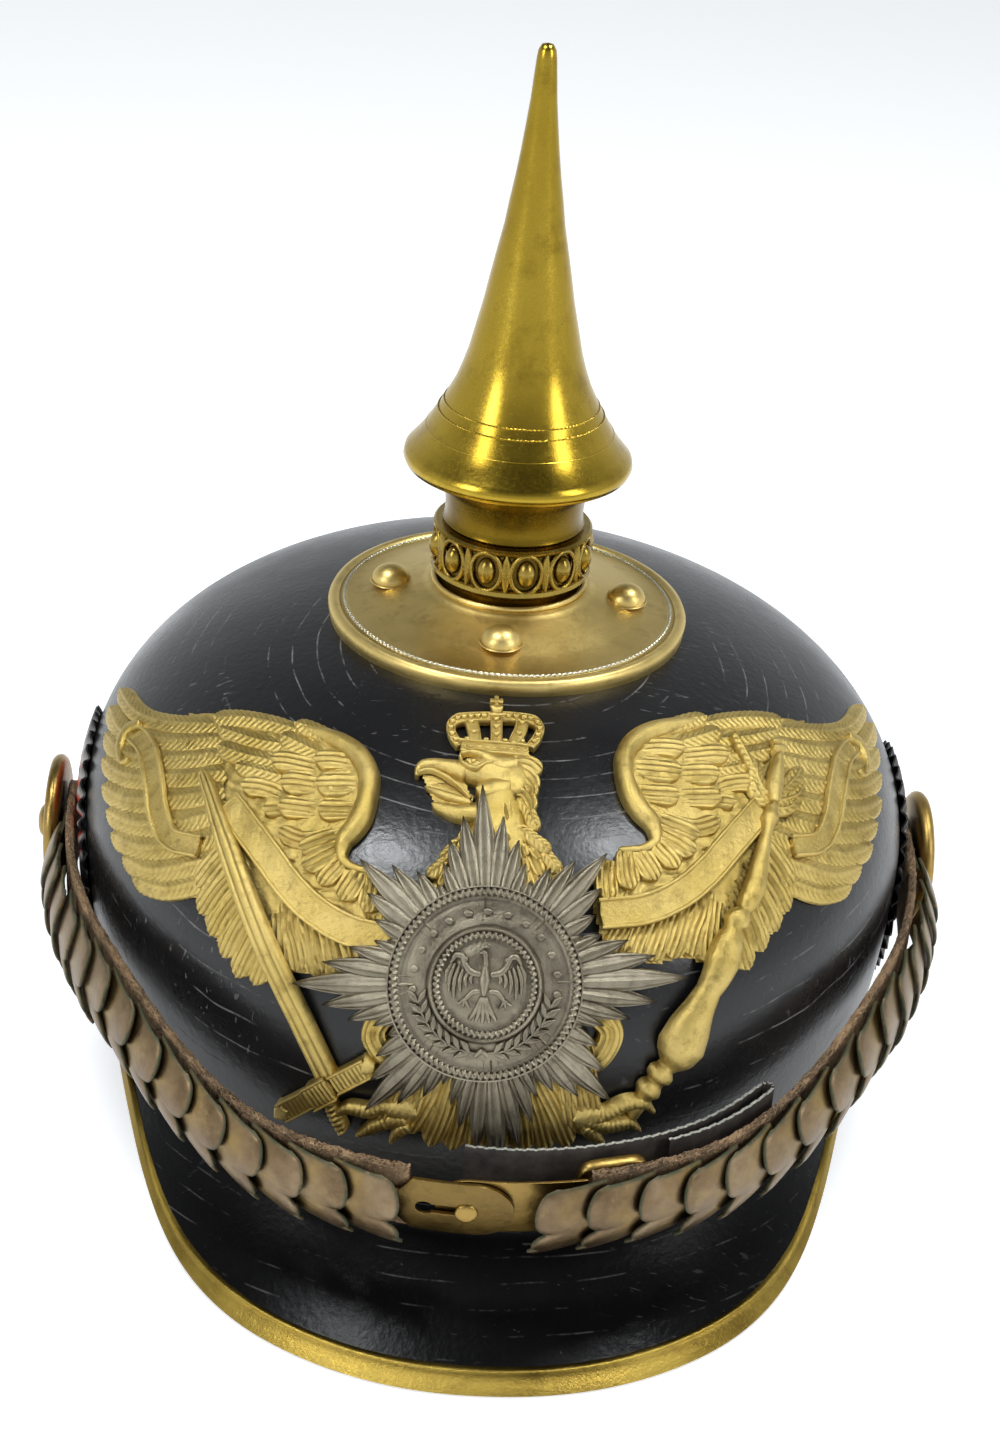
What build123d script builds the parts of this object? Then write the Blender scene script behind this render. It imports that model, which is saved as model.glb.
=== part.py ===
"""Spiked leather helmet with an eagle plate, a star and convex chinscales, in millimetres.

The helmet stands on the flat rims of its two peaks at z = 0 and faces -Y.
The shell is an ellipse in plan, centred on the Z axis, and every layer on it
is worked out from the same dome with its own distance from the lacquer.
"""
import os
from functools import cache
from math import cos, hypot, pi, radians, sin

from build123d import *

os.makedirs("parts", exist_ok=True)

# Shell
shell_half_width = 96.0
shell_half_length = 107.0
shell_widest_height = 62.0
shell_top_height = 113.3
shell_edge_height = 15.0
shell_wall = 2.5
crown_exponent_share = 2.3
taper_share = 0.05
vent_hole_radius = 9.0

# Peaks and trim
rim_reach = 134.0
rim_half_width = 94.8
rim_flat_reach = 122.0
rim_end_height = 18.0
front_end_reach = 43.0
rear_end_reach = 34.0
peak_thickness = 2.2
peak_lap_height = 27.0
lining_thickness = 0.6
trim_thickness = 0.7
trim_height = 3.3

# Spike, neck and base plate
plate_radius = 41.0
plate_rim_height = 112.4
plate_skirt_low = 109.4
plate_thickness = 1.0
rolled_edge_radius = 1.3
collar_radius = 17.4
collar_height = 118.2
neck_radius = 15.6
neck_wall = 1.6
pearl_ring_low = 122.6
pearl_ring_high = 134.2
pearl_ring_thickness = 1.1
pearl_count = 10
pearl_half_width = 2.7
pearl_half_height = 3.6
neck_top_height = 146.2
flange_radius = 25.5
flange_low = 147.8
flange_high = 151.6
spike_tip_height = 240.5
spike_tip_radius = 1.3
spike_wall = 1.2
plug_radius = 9.0
plug_length = 13.0
bush_wall = 2.4
stud_head_radius = 4.7
stud_head_height = 3.4
stud_leg_radius = 1.4
base_stud_ring = 30.5
base_stud_turn = -8.0

# Front plate and star
plate_tilt = 30.0
plate_centre_height = 40.0
wing_half_span = 89.5
wing_top = 42.0
plate_low_height = 43.5
relief_gap = 0.3
wing_relief = 2.8
body_relief = 4.6
arms_relief = 5.2
star_low = 3.0
star_high = 5.4
disc_high = 6.3
star_centre_side = -4.9
star_centre_rise = -17.1
star_radius = 37.0
star_disc_radius = 19.2
rope_radius = 0.6
star_medallion_radius = 10.0
post_radius = 1.5
post_length = 6.0
nut_width = 7.0
nut_thickness = 2.2

# Chinscales
pivot_height = 50.0
band_side_gap = 3.6
band_front_gap = 12.0
band_front_height = 36.5
band_level_turn = 22.0
band_rise_turn = 36.0
strap_thickness = 1.8
strap_width = 17.0
scale_count = 13
scale_pitch = 11.2
scale_length = 15.6
scale_width = 20.0
scale_arch = 3.0
scale_thickness = 0.8
scale_tilt = 6.5
scale_lobes = 3
first_scale_distance = 16.3
leather_end_turn = 9.5
end_plate_thickness = 1.0
hook_turn = -3.4
key_neck_turn = -9.2
key_tail_turn = -15.5
key_slot_length = 9.0
key_slot_width = 2.6
key_hole_radius = 2.6
hook_head_radius = 2.3
buckle_turn = 12.5
buckle_width = 15.0
buckle_height = 15.0
buckle_wire = 2.4
thin_strap_thickness = 0.8
thin_strap_width = 12.0
thin_start_turn = -4.0
thin_fold_turn = 19.0
thin_end_turn = 33.0

# Sides
cockade_radius = 28.0
cockade_thickness = 2.1
cockade_pleats = 36
rosette_radius = 16.0
rosette_depth = 3.4
rosette_roll = 1.7
rosette_dome_radius = 4.8
rosette_dome_height = 6.4
rosette_post_radius = 2.0
side_stud_reach = 35.0
side_stud_height = 21.0
square_nut_width = 8.0

# Inside and back
lining_gap = 3.7
sweatband_thickness = 1.3
sweatband_height = 30.0
crown_lining_thickness = 0.8
crown_opening_radius = 24.0
spine_width = 9.0
spine_thickness = 1.1
spine_stud_radius = 3.2
spine_stud_height = 2.0
slide_wall = 0.8
vent_slide_length = 13.0
vent_slide_height = 60.0

# Shared
play = 0.3
overrun = 5.0
far = 2 * rim_reach


# Dome
def dome_share(height):
    """Size of the ring at a height, as a share of the widest ring"""
    if height > shell_widest_height:
        rise_share = (height - shell_widest_height) / (shell_top_height - shell_widest_height)
        return (1 - rise_share**crown_exponent_share) ** (1 / crown_exponent_share)
    fall_share = (shell_widest_height - height) / (shell_widest_height - shell_edge_height)
    return 1 - taper_share * fall_share**2


def dome_rings(grow, low):
    """Half width, half length and height of the rings of a dome that stands grow off the lacquer"""
    rings = []
    for fall_share in (1.0, 0.66, 0.33):
        height = low + (shell_widest_height - low) * (1 - fall_share)
        share = dome_share(height)
        rings.append((shell_half_width * share + grow, shell_half_length * share + grow, height))
    crown_rise = shell_top_height - shell_widest_height
    mean_radius = (shell_half_width + shell_half_length) / 2
    for turn_degrees in (0, 13, 26, 38, 49, 58, 66, 73, 79, 84):
        share = cos(radians(turn_degrees)) ** (2 / crown_exponent_share)
        rise_share = sin(radians(turn_degrees)) ** (2 / crown_exponent_share)
        out_part = share ** (crown_exponent_share - 1) / mean_radius
        up_part = rise_share ** (crown_exponent_share - 1) / crown_rise
        length = hypot(out_part, up_part)
        out_grow = grow * out_part / length
        up_grow = grow * up_part / length
        rings.append(
            (
                shell_half_width * share + out_grow,
                shell_half_length * share + out_grow,
                shell_widest_height + crown_rise * rise_share + up_grow,
            )
        )
    return rings


@cache
def dome(grow, low):
    """Closed dome, flat below, that stands grow off the lacquer"""
    with BuildPart() as form:
        for half_width, half_length, height in dome_rings(grow, low):
            with BuildSketch(Plane.XY.offset(height)):
                Ellipse(half_width, half_length)
        loft()
    return form.part


lacquer = dome(0, shell_edge_height)
lap_seat = dome(play / 3, shell_edge_height)
plate_plane = Plane(
    origin=(0, 0, plate_centre_height),
    x_dir=(1, 0, 0),
    z_dir=(0, -cos(radians(plate_tilt)), sin(radians(plate_tilt))),
)


def lacquer_point(side, rise):
    """Point of the lacquer under a point of the front plate's own plane"""
    start = plate_plane.from_local_coords(Vector(side, rise, 0))
    reach = 0.0
    step = shell_half_length / 2
    while step > play / 100:
        probe = start + plate_plane.z_dir * (reach + step)
        share = dome_share(min(probe.Z, shell_top_height))
        inside = probe.Z < shell_top_height and share > 0
        if inside:
            across = probe.X / (shell_half_width * share)
            along = probe.Y / (shell_half_length * share)
            inside = across**2 + along**2 < 1
        if inside:
            reach += step
        step /= 2
    return start + plate_plane.z_dir * reach


def seat_plane(side, height, facing, lift):
    """Plane on the lacquer at a side and height, its Z axis square to the dome"""
    share = dome_share(height)
    half_width = shell_half_width * share
    half_length = shell_half_length * share
    ahead = facing * half_length * (1 - (side / half_width) ** 2) ** 0.5
    slope = (dome_share(height + play) - dome_share(height - play)) / (play * 2)
    normal = Vector(side / half_width**2, ahead / half_length**2, -slope / share).normalized()
    return Plane(origin=Vector(side, ahead, height) + normal * lift, z_dir=normal)


# Fixing places on the front plate: side and rise in its own plane
star_place = (star_centre_side, star_centre_rise)
wing_post_side_share = 0.5
wing_post_rise_share = 0.3
wing_post_places = [
    (-wing_half_span * wing_post_side_share, wing_top * wing_post_rise_share),
    (wing_half_span * wing_post_side_share, wing_top * wing_post_rise_share),
]
plate_posts = [lacquer_point(side, rise) for side, rise in [star_place] + wing_post_places]


def post_plane(point):
    """Plane across a plate fixing, on the lacquer"""
    return Plane(origin=point, x_dir=(1, 0, 0), z_dir=plate_plane.z_dir)



# Shell
side_stud_share = dome_share(side_stud_height)
side_stud_side = (1 - (side_stud_reach / (shell_half_length * side_stud_share)) ** 2) ** 0.5
side_stud_side *= shell_half_width * side_stud_share
side_stud_planes = [seat_plane(side * side_stud_side, side_stud_height, -1, 0) for side in (-1, 1)]
spine_stud_heights = (peak_lap_height + spine_width, shell_widest_height + spine_width * 3.4)
spine_stud_planes = [seat_plane(0, height, 1, spine_thickness) for height in spine_stud_heights]
with BuildPart() as shell:
    add(lacquer)
    add(dome(-shell_wall, shell_edge_height - overrun), mode=Mode.SUBTRACT)
    with Locations((0, 0, shell_top_height)):
        Cylinder(vent_hole_radius, far / 10, mode=Mode.SUBTRACT)
        with PolarLocations(base_stud_ring, 4, start_angle=-90 + base_stud_turn):
            Cylinder(stud_leg_radius + play, far / 10, mode=Mode.SUBTRACT)
    with BuildSketch(Plane.YZ):
        with Locations((0, pivot_height)):
            Circle(rosette_post_radius + play)
    extrude(amount=far, both=True, mode=Mode.SUBTRACT)
    for place in side_stud_planes + spine_stud_planes:
        with BuildSketch(place):
            Circle(stud_leg_radius + play)
        extrude(amount=shell_wall * 3, both=True, mode=Mode.SUBTRACT)
    for point in plate_posts:
        with BuildSketch(post_plane(point)):
            Circle(post_radius + play)
        extrude(amount=post_length, both=True, mode=Mode.SUBTRACT)
shell.part.label = "shell"
export_step(shell.part, "parts/shell.step")


# Peaks
def peak_profile(sink):
    """Half width, reach and height of the rings down a peak, sunk square to its surface"""
    lap = peak_thickness * 0.75
    waist = peak_lap_height - peak_thickness * 2
    bend = rim_end_height
    lap_reach = shell_half_length * dome_share(peak_lap_height) + lap
    waist_reach = shell_half_length * dome_share(waist) + lap
    bend_reach = shell_half_length * dome_share(bend) + lap * 1.5
    rows = [
        (shell_half_width * dome_share(peak_lap_height) + lap, lap_reach, peak_lap_height),
        (shell_half_width * dome_share(waist) + lap, waist_reach, waist),
        (shell_half_width * dome_share(bend) + lap, bend_reach, bend),
    ]
    for fall_share, out_share in ((0.38, 0.27), (0.7, 0.61), (1.0, 1.0), (1.16, 1.19)):
        width = rows[2][0] + (rim_half_width - rows[2][0]) * out_share
        reach = bend_reach + (rim_reach - bend_reach) * out_share
        rows.append((width, reach, bend * (1 - fall_share)))
    sunk = []
    for index, (width, reach, height) in enumerate(rows):
        above = rows[max(index - 1, 0)]
        below = rows[min(index + 1, len(rows) - 1)]
        slope = Vector(below[1] - above[1], below[2] - above[2], 0).normalized()
        sunk.append((width + sink * slope.Y, reach + sink * slope.Y, height - sink * slope.X))
    return sunk


def peak_body(sink, facing):
    """Half skirt of the peak's rings, from one side through the front or the back"""
    corner_share = 0.15
    with BuildPart() as skirt:
        for width, reach, height in peak_profile(sink):
            power_share = 2 + corner_share * (rim_end_height - min(height, rim_end_height)) / rim_end_height
            curve = []
            for turn_degrees in range(-90, 91, 15):
                across = abs(sin(radians(turn_degrees))) ** (2 / power_share)
                ahead = abs(cos(radians(turn_degrees))) ** (2 / power_share)
                side = -1 if turn_degrees < 0 else 1
                if abs(turn_degrees) == 90:
                    ahead = 0
                curve.append((side * across * width, facing * ahead * reach))
            with BuildSketch(Plane.XY.offset(height)):
                with BuildLine():
                    Spline(*curve, tangents=[(0, facing), (0, -facing)])
                    Line(curve[0], curve[-1])
                make_face()
        loft()
    return skirt.part


def rim_prism(lift, end_reach, facing):
    """Everything above the rim's line seen from the side, as a prism along X"""
    flat = facing * rim_flat_reach
    end = facing * end_reach
    end_height = rim_end_height + lift
    with BuildPart() as prism:
        with BuildSketch(Plane.YZ):
            with BuildLine():
                Polyline((flat, lift), (facing * far, lift), (facing * far, far), (end, far), (end, end_height))
                Bezier((flat, lift), ((flat + end) / 2, lift), (end, end_height))
            make_face()
        extrude(amount=far, both=True)
    return prism.part


def peak_layer(outer_sink, inner_sink, lift, top, end_reach, facing):
    """Part of a peak's thickness above its rim line and under a height, clear of the shell"""
    with BuildPart() as layer:
        add(peak_body(outer_sink, facing))
        add(peak_body(inner_sink, facing), mode=Mode.SUBTRACT)
        add(rim_prism(lift, end_reach, facing), mode=Mode.INTERSECT)
        add(lap_seat, mode=Mode.SUBTRACT)
        with BuildSketch(Plane.XY.offset(top)):
            Rectangle(far * 2, far * 2)
        extrude(amount=far, mode=Mode.SUBTRACT)
    return layer.part


with BuildPart() as front_peak:
    add(peak_layer(0, peak_thickness, trim_thickness, peak_lap_height, front_end_reach, -1))
front_peak.part.label = "front_peak"
export_step(front_peak.part, "parts/front_peak.step")

with BuildPart() as rear_peak:
    add(peak_layer(0, peak_thickness, 0, peak_lap_height, rear_end_reach, 1))
rear_peak.part.label = "rear_peak"
export_step(rear_peak.part, "parts/rear_peak.step")

lining_face = peak_thickness + play
lining_low = lining_face + lining_thickness
lining_top = shell_edge_height - play
with BuildPart() as front_peak_lining:
    add(peak_layer(lining_face, lining_low, trim_height + play, lining_top, front_end_reach, -1))
front_peak_lining.part.label = "front_peak_lining"
export_step(front_peak_lining.part, "parts/front_peak_lining.step")

with BuildPart() as rear_peak_lining:
    add(peak_layer(lining_face, lining_low, trim_height / 2, lining_top, rear_end_reach, 1))
rear_peak_lining.part.label = "rear_peak_lining"
export_step(rear_peak_lining.part, "parts/rear_peak_lining.step")

with BuildPart() as front_trim:
    add(
        peak_layer(
            -trim_thickness, peak_thickness + trim_thickness, 0, peak_lap_height, front_end_reach, -1
        )
    )
    add(rim_prism(trim_height, front_end_reach, -1), mode=Mode.SUBTRACT)
    add(front_peak.part, mode=Mode.SUBTRACT)
front_trim.part.label = "front_trim"
export_step(front_trim.part, "parts/front_trim.step")


# Base plate
plate_top = plate_rim_height + rolled_edge_radius
with BuildPart() as spike_base:
    with BuildSketch(Plane.XZ):
        with BuildLine():
            inner_edge = neck_radius + play
            dish_start = plate_radius - rolled_edge_radius * 2
            skirt_face = plate_radius - rolled_edge_radius * 0.4
            Polyline(
                (inner_edge, collar_height),
                (collar_radius, collar_height),
                (collar_radius + plate_thickness, collar_height - plate_thickness * 2),
                (dish_start, plate_top),
                (skirt_face, plate_top),
                (skirt_face, plate_skirt_low),
                (dish_start, plate_skirt_low),
                (dish_start, plate_rim_height + plate_thickness / 2),
                (collar_radius, collar_height - plate_thickness * 3),
                (inner_edge, collar_height - plate_thickness * 3),
                close=True,
            )
        make_face()
        with Locations((plate_radius - rolled_edge_radius, plate_top - rolled_edge_radius / 2)):
            Circle(rolled_edge_radius)
    revolve(axis=Axis.Z)
    add(dome(play / 3, 0), mode=Mode.SUBTRACT)
    with PolarLocations(base_stud_ring, 4, start_angle=-90 + base_stud_turn):
        with Locations((0, 0, plate_top)):
            Cylinder(stud_leg_radius + play, far / 10, mode=Mode.SUBTRACT)
spike_base.part.label = "spike_base"
export_step(spike_base.part, "parts/spike_base.step")



def dome_stud(head_radius, head_height, leg_radius, leg_length):
    """Domed stud that sits on z = 0 with its leg below"""
    cap_radius = (head_radius**2 + head_height**2) / (2 * head_height)
    mid_side = head_radius / 2
    mid_rise = (cap_radius**2 - mid_side**2) ** 0.5 - cap_radius + head_height
    with BuildPart() as stud:
        with BuildSketch(Plane.XZ):
            with BuildLine():
                Polyline(
                    (0, head_height),
                    (0, -leg_length),
                    (leg_radius, -leg_length),
                    (leg_radius, 0),
                    (head_radius, 0),
                )
                ThreePointArc((head_radius, 0), (mid_side, mid_rise), (0, head_height))
            make_face()
        revolve(axis=Axis.Z)
    return stud.part


base_stud_share = (base_stud_ring - stud_head_radius - collar_radius) / (plate_radius - collar_radius)
base_stud_seat = collar_height - plate_thickness * 2
base_stud_seat -= (base_stud_seat - plate_top) * base_stud_share
base_stud_leg = base_stud_seat - shell_top_height + shell_wall + stud_leg_radius * 2.5
with BuildPart() as base_studs:
    with Locations((0, 0, base_stud_seat)):
        with PolarLocations(base_stud_ring, 4, start_angle=-90 + base_stud_turn):
            add(dome_stud(stud_head_radius, stud_head_height, stud_leg_radius, base_stud_leg))
base_studs.part.label = "base_studs"
export_step(base_studs.part, "parts/base_studs.step")


# Neck, pearl ring and spike
neck_foot_height = collar_height - plate_thickness * 3
with BuildPart() as spike_neck:
    with BuildSketch(Plane.XZ):
        with BuildLine():
            neck_bore = neck_radius - neck_wall
            Polyline(
                (neck_radius, neck_top_height - neck_wall * 4),
                (neck_radius, neck_foot_height),
                (collar_radius, neck_foot_height),
                (collar_radius, neck_foot_height - plate_thickness),
                (neck_bore, neck_foot_height - plate_thickness),
                (neck_bore, neck_top_height),
                (neck_radius + neck_wall, neck_top_height),
            )
            ThreePointArc(
                (neck_radius + neck_wall, neck_top_height),
                (neck_radius + neck_wall / 4, neck_top_height - neck_wall * 1.6),
                (neck_radius, neck_top_height - neck_wall * 4),
            )
        make_face()
    revolve(axis=Axis.Z)
spike_neck.part.label = "spike_neck"
export_step(spike_neck.part, "parts/spike_neck.step")

with BuildPart() as socket_bush:
    with Locations((0, 0, neck_top_height)):
        Cylinder(neck_bore, plug_length, align=(Align.CENTER, Align.CENTER, Align.MAX))
        Cylinder(
            plug_radius + play,
            plug_length,
            align=(Align.CENTER, Align.CENTER, Align.MAX),
            mode=Mode.SUBTRACT,
        )
socket_bush.part.label = "socket_bush"
export_step(socket_bush.part, "parts/socket_bush.step")

pearl_ring_radius = neck_radius + pearl_ring_thickness
pearl_ring_middle = (pearl_ring_low + pearl_ring_high) / 2
pearl_spacing = 360 / pearl_count
with BuildPart() as pearl_ring:
    with Locations((0, 0, pearl_ring_low)):
        Cylinder(
            pearl_ring_radius, pearl_ring_high - pearl_ring_low, align=(Align.CENTER, Align.CENTER, Align.MIN)
        )
    for height in (pearl_ring_low + pearl_ring_thickness, pearl_ring_high - pearl_ring_thickness):
        with Locations((0, 0, height)):
            Torus(pearl_ring_radius, pearl_ring_thickness)
    with Locations((0, 0, pearl_ring_middle)):
        with PolarLocations(pearl_ring_radius, pearl_count, start_angle=-90):
            Sphere(pearl_half_width)
        with PolarLocations(pearl_ring_radius, pearl_count, start_angle=-90 + pearl_spacing / 2):
            Cylinder(pearl_ring_thickness, pearl_half_height * 2)
    with Locations((0, 0, pearl_ring_middle)):
        Cylinder(neck_radius, far / 2, mode=Mode.SUBTRACT)
pearl_ring.part.label = "pearl_ring"
export_step(pearl_ring.part, "parts/pearl_ring.step")

spike_rise_shares = (0.0, 0.061, 0.126, 0.192, 0.321, 0.447, 0.57, 0.691, 0.81, 0.926)
spike_width_shares = (0.965, 0.792, 0.655, 0.561, 0.435, 0.343, 0.255, 0.188, 0.133, 0.08)
spike_rise = spike_tip_height - spike_tip_radius - flange_high
spike_curve = [
    (flange_radius * width_share, flange_high + spike_rise * rise_share)
    for rise_share, width_share in zip(spike_rise_shares, spike_width_shares)
]
spike_foot = neck_top_height + play
spigot_radius = plug_radius - bush_wall
floor_height = flange_low + spike_wall
with BuildPart() as spike:
    with BuildSketch(Plane.XZ):
        with BuildLine():
            tip_start = (spike_tip_radius, spike_tip_height - spike_tip_radius)
            Spline(*spike_curve, tip_start)
            Polyline(
                tip_start,
                (spike_tip_radius * 0.7, spike_tip_height - spike_tip_radius * 0.3),
                (0, spike_tip_height),
                (0, spike_foot),
                (neck_radius + neck_wall, spike_foot),
                (neck_radius + neck_wall * 2, flange_low + spike_wall),
                (flange_radius - spike_wall * 2, flange_low),
            )
            ThreePointArc(
                (flange_radius - spike_wall * 2, flange_low),
                (flange_radius, (flange_low + flange_high) / 2),
                spike_curve[0],
            )
        make_face()
    revolve(axis=Axis.Z)
    with BuildSketch(Plane.XZ):
        hollow = [(radius - spike_wall * 1.4, height + spike_wall) for radius, height in spike_curve[:6]]
        with BuildLine():
            Polyline(*hollow, (0, hollow[-1][1]), (0, hollow[0][1]), close=True)
        make_face()
    revolve(axis=Axis.Z, mode=Mode.SUBTRACT)
    with Locations((0, 0, spike_foot)):
        Cylinder(
            spigot_radius,
            flange_high + spike_wall - spike_foot,
            align=(Align.CENTER, Align.CENTER, Align.MIN),
            mode=Mode.SUBTRACT,
        )
spike.part.label = "spike"
export_step(spike.part, "parts/spike.step")

with BuildPart() as spike_plug:
    with Locations((0, 0, spike_foot)):
        Cylinder(plug_radius, plug_length, align=(Align.CENTER, Align.CENTER, Align.MAX))
        Cylinder(
            spigot_radius,
            flange_high + spike_wall - spike_foot,
            align=(Align.CENTER, Align.CENTER, Align.MIN),
        )
    chamfer(spike_plug.faces().sort_by(Axis.Z)[0].edges(), spike_wall)
spike_plug.part.label = "spike_plug"
export_step(spike_plug.part, "parts/spike_plug.step")


# Front plate: outlines in the plate's own plane
wing_root_left = -28.2
wing_root_right = 20.3
wing_shares = (
    (0.0, 0.474),
    (0.02, 0.6),
    (0.11, 0.725),
    (0.3, 0.8),
    (0.55, 0.85),
    (0.76, 0.84),
    (0.89, 0.9),
    (0.96, 0.98),
    (0.985, 0.83),
    (1.0, 0.64),
    (0.975, 0.43),
    (0.93, 0.24),
    (0.87, 0.1),
    (0.77, -0.06),
    (0.66, -0.07),
    (0.56, -0.06),
    (0.54, -0.25),
    (0.47, -0.37),
    (0.33, -0.455),
    (0.1, -0.46),
    (-0.12, -0.4),
    (-0.15, -0.1),
    (0.03, 0.03),
    (0.11, 0.17),
    (0.05, 0.33),
)
head_shares = (
    (0.17, 0.08),
    (0.17, 0.3),
    (0.12, 0.46),
    (0.15, 0.58),
    (0.08, 0.7),
    (0.145, 0.82),
    (0.107, 0.88),
    (-0.007, 0.9),
    (-0.04, 0.952),
    (-0.117, 0.95),
    (-0.17, 0.883),
    (-0.29, 0.86),
    (-0.32, 0.81),
    (-0.257, 0.686),
    (-0.317, 0.636),
    (-0.462, 0.62),
    (-0.471, 0.555),
    (-0.4, 0.41),
    (-0.255, 0.37),
    (-0.283, 0.23),
    (-0.4, 0.06),
)
tail_shares = (
    (-0.5, 0.2),
    (-0.5, -0.6),
    (-0.38, -0.94),
    (-0.28, -1.0),
    (0.25, -1.0),
    (0.38, -0.93),
    (0.4, -0.6),
    (0.3, 0.4),
)
sceptre_shares = ((1.1, 0.77), (1.25, 0.36), (1.08, 0.04), (0.93, -0.34), (0.85, -0.63), (0.75, -0.86), (0.64, -0.98))
sceptre_width_shares = (0.08, 0.09, 0.05, 0.07, 0.06, 0.09, 0.05)
sword_tip_shares = (-1.52, 0.5)
sword_guard_shares = (-0.8, -0.97)
claw_shares = ((-0.64, -1.1), (0.56, -1.05))


def wing_points(root, tip):
    """Outline of one wing, from its root to its tip"""
    return [(root + (tip - root) * side, wing_top * rise) for side, rise in wing_shares]


def scaled(shares):
    """Outline given in shares of the wing's rise"""
    return [(wing_top * side, wing_top * rise) for side, rise in shares]


def strip_along(points, widths):
    """Outline of a strip of changing width along a centre line"""
    right = []
    left = []
    for index, (side, rise) in enumerate(points):
        before = points[max(index - 1, 0)]
        after = points[min(index + 1, len(points) - 1)]
        way = Vector(after[0] - before[0], after[1] - before[1], 0).normalized()
        right.append((side + way.Y * widths[index], rise - way.X * widths[index]))
        left.append((side - way.Y * widths[index], rise + way.X * widths[index]))
    return right + left[::-1]


with BuildPart() as wings:
    with BuildSketch(plate_plane):
        for root, tip in ((wing_root_left, -wing_half_span), (wing_root_right, wing_half_span)):
            with BuildLine():
                Spline(*wing_points(root, tip), periodic=True)
            make_face()
    extrude(amount=far / 2)
    add(dome(wing_relief, 0), mode=Mode.INTERSECT)

with BuildPart() as trunk:
    with BuildSketch(plate_plane):
        with BuildLine():
            Polyline(*scaled(head_shares), close=True)
        make_face()
        with BuildLine():
            Polyline(*scaled(tail_shares), close=True)
        make_face()
    extrude(amount=far / 2)
    add(dome(body_relief, 0), mode=Mode.INTERSECT)

sword_tip = scaled([sword_tip_shares])[0]
sword_guard = scaled([sword_guard_shares])[0]
sword_way = Vector(sword_guard[0] - sword_tip[0], sword_guard[1] - sword_tip[1], 0).normalized()
blade_half_width = arms_relief / 2.6
guard_half_length = wing_top * 0.22
with BuildPart() as arms:
    with BuildSketch(plate_plane):
        with BuildLine():
            Polyline(
                *strip_along([sword_tip, sword_guard], [blade_half_width * 0.6, blade_half_width]), close=True
            )
        make_face()
        guard_start = (
            sword_guard[0] + sword_way.Y * guard_half_length,
            sword_guard[1] - sword_way.X * guard_half_length,
        )
        guard_end = (
            sword_guard[0] - sword_way.Y * guard_half_length,
            sword_guard[1] + sword_way.X * guard_half_length,
        )
        with BuildLine():
            Polyline(*strip_along([guard_start, guard_end], [blade_half_width] * 2), close=True)
        make_face()
        with BuildLine():
            widths = [wing_top * share for share in sceptre_width_shares]
            Polyline(*strip_along(scaled(sceptre_shares), widths), close=True)
        make_face()
        for side, rise in scaled(claw_shares):
            with BuildLine():
                Polyline(*strip_along([(side, rise), (side / 3, rise * 0.85)], [arms_relief / 1.4] * 2), close=True)
            make_face()
    extrude(amount=far / 2)
    add(dome(arms_relief, 0), mode=Mode.INTERSECT)

with BuildPart() as eagle_plate:
    add(wings.part)
    add(trunk.part)
    add(arms.part)
    add(dome(relief_gap, -overrun), mode=Mode.SUBTRACT)
    with BuildSketch(Plane.XY):
        Rectangle(far, far)
    extrude(amount=plate_low_height, mode=Mode.SUBTRACT)
    with BuildSketch(post_plane(plate_posts[0])):
        Circle(post_radius + play)
    extrude(amount=far / 4, both=True, mode=Mode.SUBTRACT)
eagle_plate.part.label = "eagle_plate"
export_step(eagle_plate.part, "parts/eagle_plate.step")

star_turn = 4.0
star_valley_share = 0.68
star_points = 8
star_corners = []
for index in range(star_points * 2):
    reach = star_radius if index % 2 == 0 else star_radius * star_valley_share
    angle = radians(90 + star_turn + index * 180 / star_points)
    star_corners.append((star_centre_side + reach * cos(angle), star_centre_rise + reach * sin(angle)))
with BuildPart() as guard_star:
    with BuildSketch(plate_plane):
        with BuildLine():
            Polyline(*star_corners, close=True)
        make_face()
    extrude(amount=far / 2)
    add(dome(star_high, 0), mode=Mode.INTERSECT)
    with BuildSketch(plate_plane):
        with Locations(star_place):
            Circle(star_disc_radius)
    disc = extrude(amount=far / 2, mode=Mode.PRIVATE)
    add(disc & dome(disc_high, 0))
    with BuildSketch(plate_plane):
        with Locations(star_place):
            Circle(star_disc_radius)
            Circle(star_disc_radius - rope_radius * 2, mode=Mode.SUBTRACT)
            Circle(star_medallion_radius + rope_radius * 2)
            Circle(star_medallion_radius, mode=Mode.SUBTRACT)
    ropes = extrude(amount=far / 2, mode=Mode.PRIVATE)
    add(ropes & dome(disc_high + rope_radius, 0))
    add(dome(star_low, -overrun), mode=Mode.SUBTRACT)
    add(eagle_plate.part, mode=Mode.SUBTRACT)
guard_star.part.label = "guard_star"
export_step(guard_star.part, "parts/guard_star.step")


# Posts and nuts of the front plate
post_end = shell_wall + lining_gap - play * 2
with BuildPart() as eagle_posts:
    for point in plate_posts[1:]:
        with BuildSketch(post_plane(point)):
            Circle(post_radius)
        extrude(amount=post_length, both=True)
    add(dome(relief_gap, 0), mode=Mode.INTERSECT)
    add(dome(-post_end, -overrun), mode=Mode.SUBTRACT)
eagle_posts.part.label = "eagle_posts"
export_step(eagle_posts.part, "parts/eagle_posts.step")

with BuildPart() as star_post:
    with BuildSketch(post_plane(plate_posts[0])):
        Circle(post_radius)
    extrude(amount=post_length, both=True)
    add(dome(body_relief, 0), mode=Mode.INTERSECT)
    add(dome(-post_end, -overrun), mode=Mode.SUBTRACT)
    add(guard_star.part, mode=Mode.SUBTRACT)
star_post.part.label = "star_post"
export_step(star_post.part, "parts/star_post.step")

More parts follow.
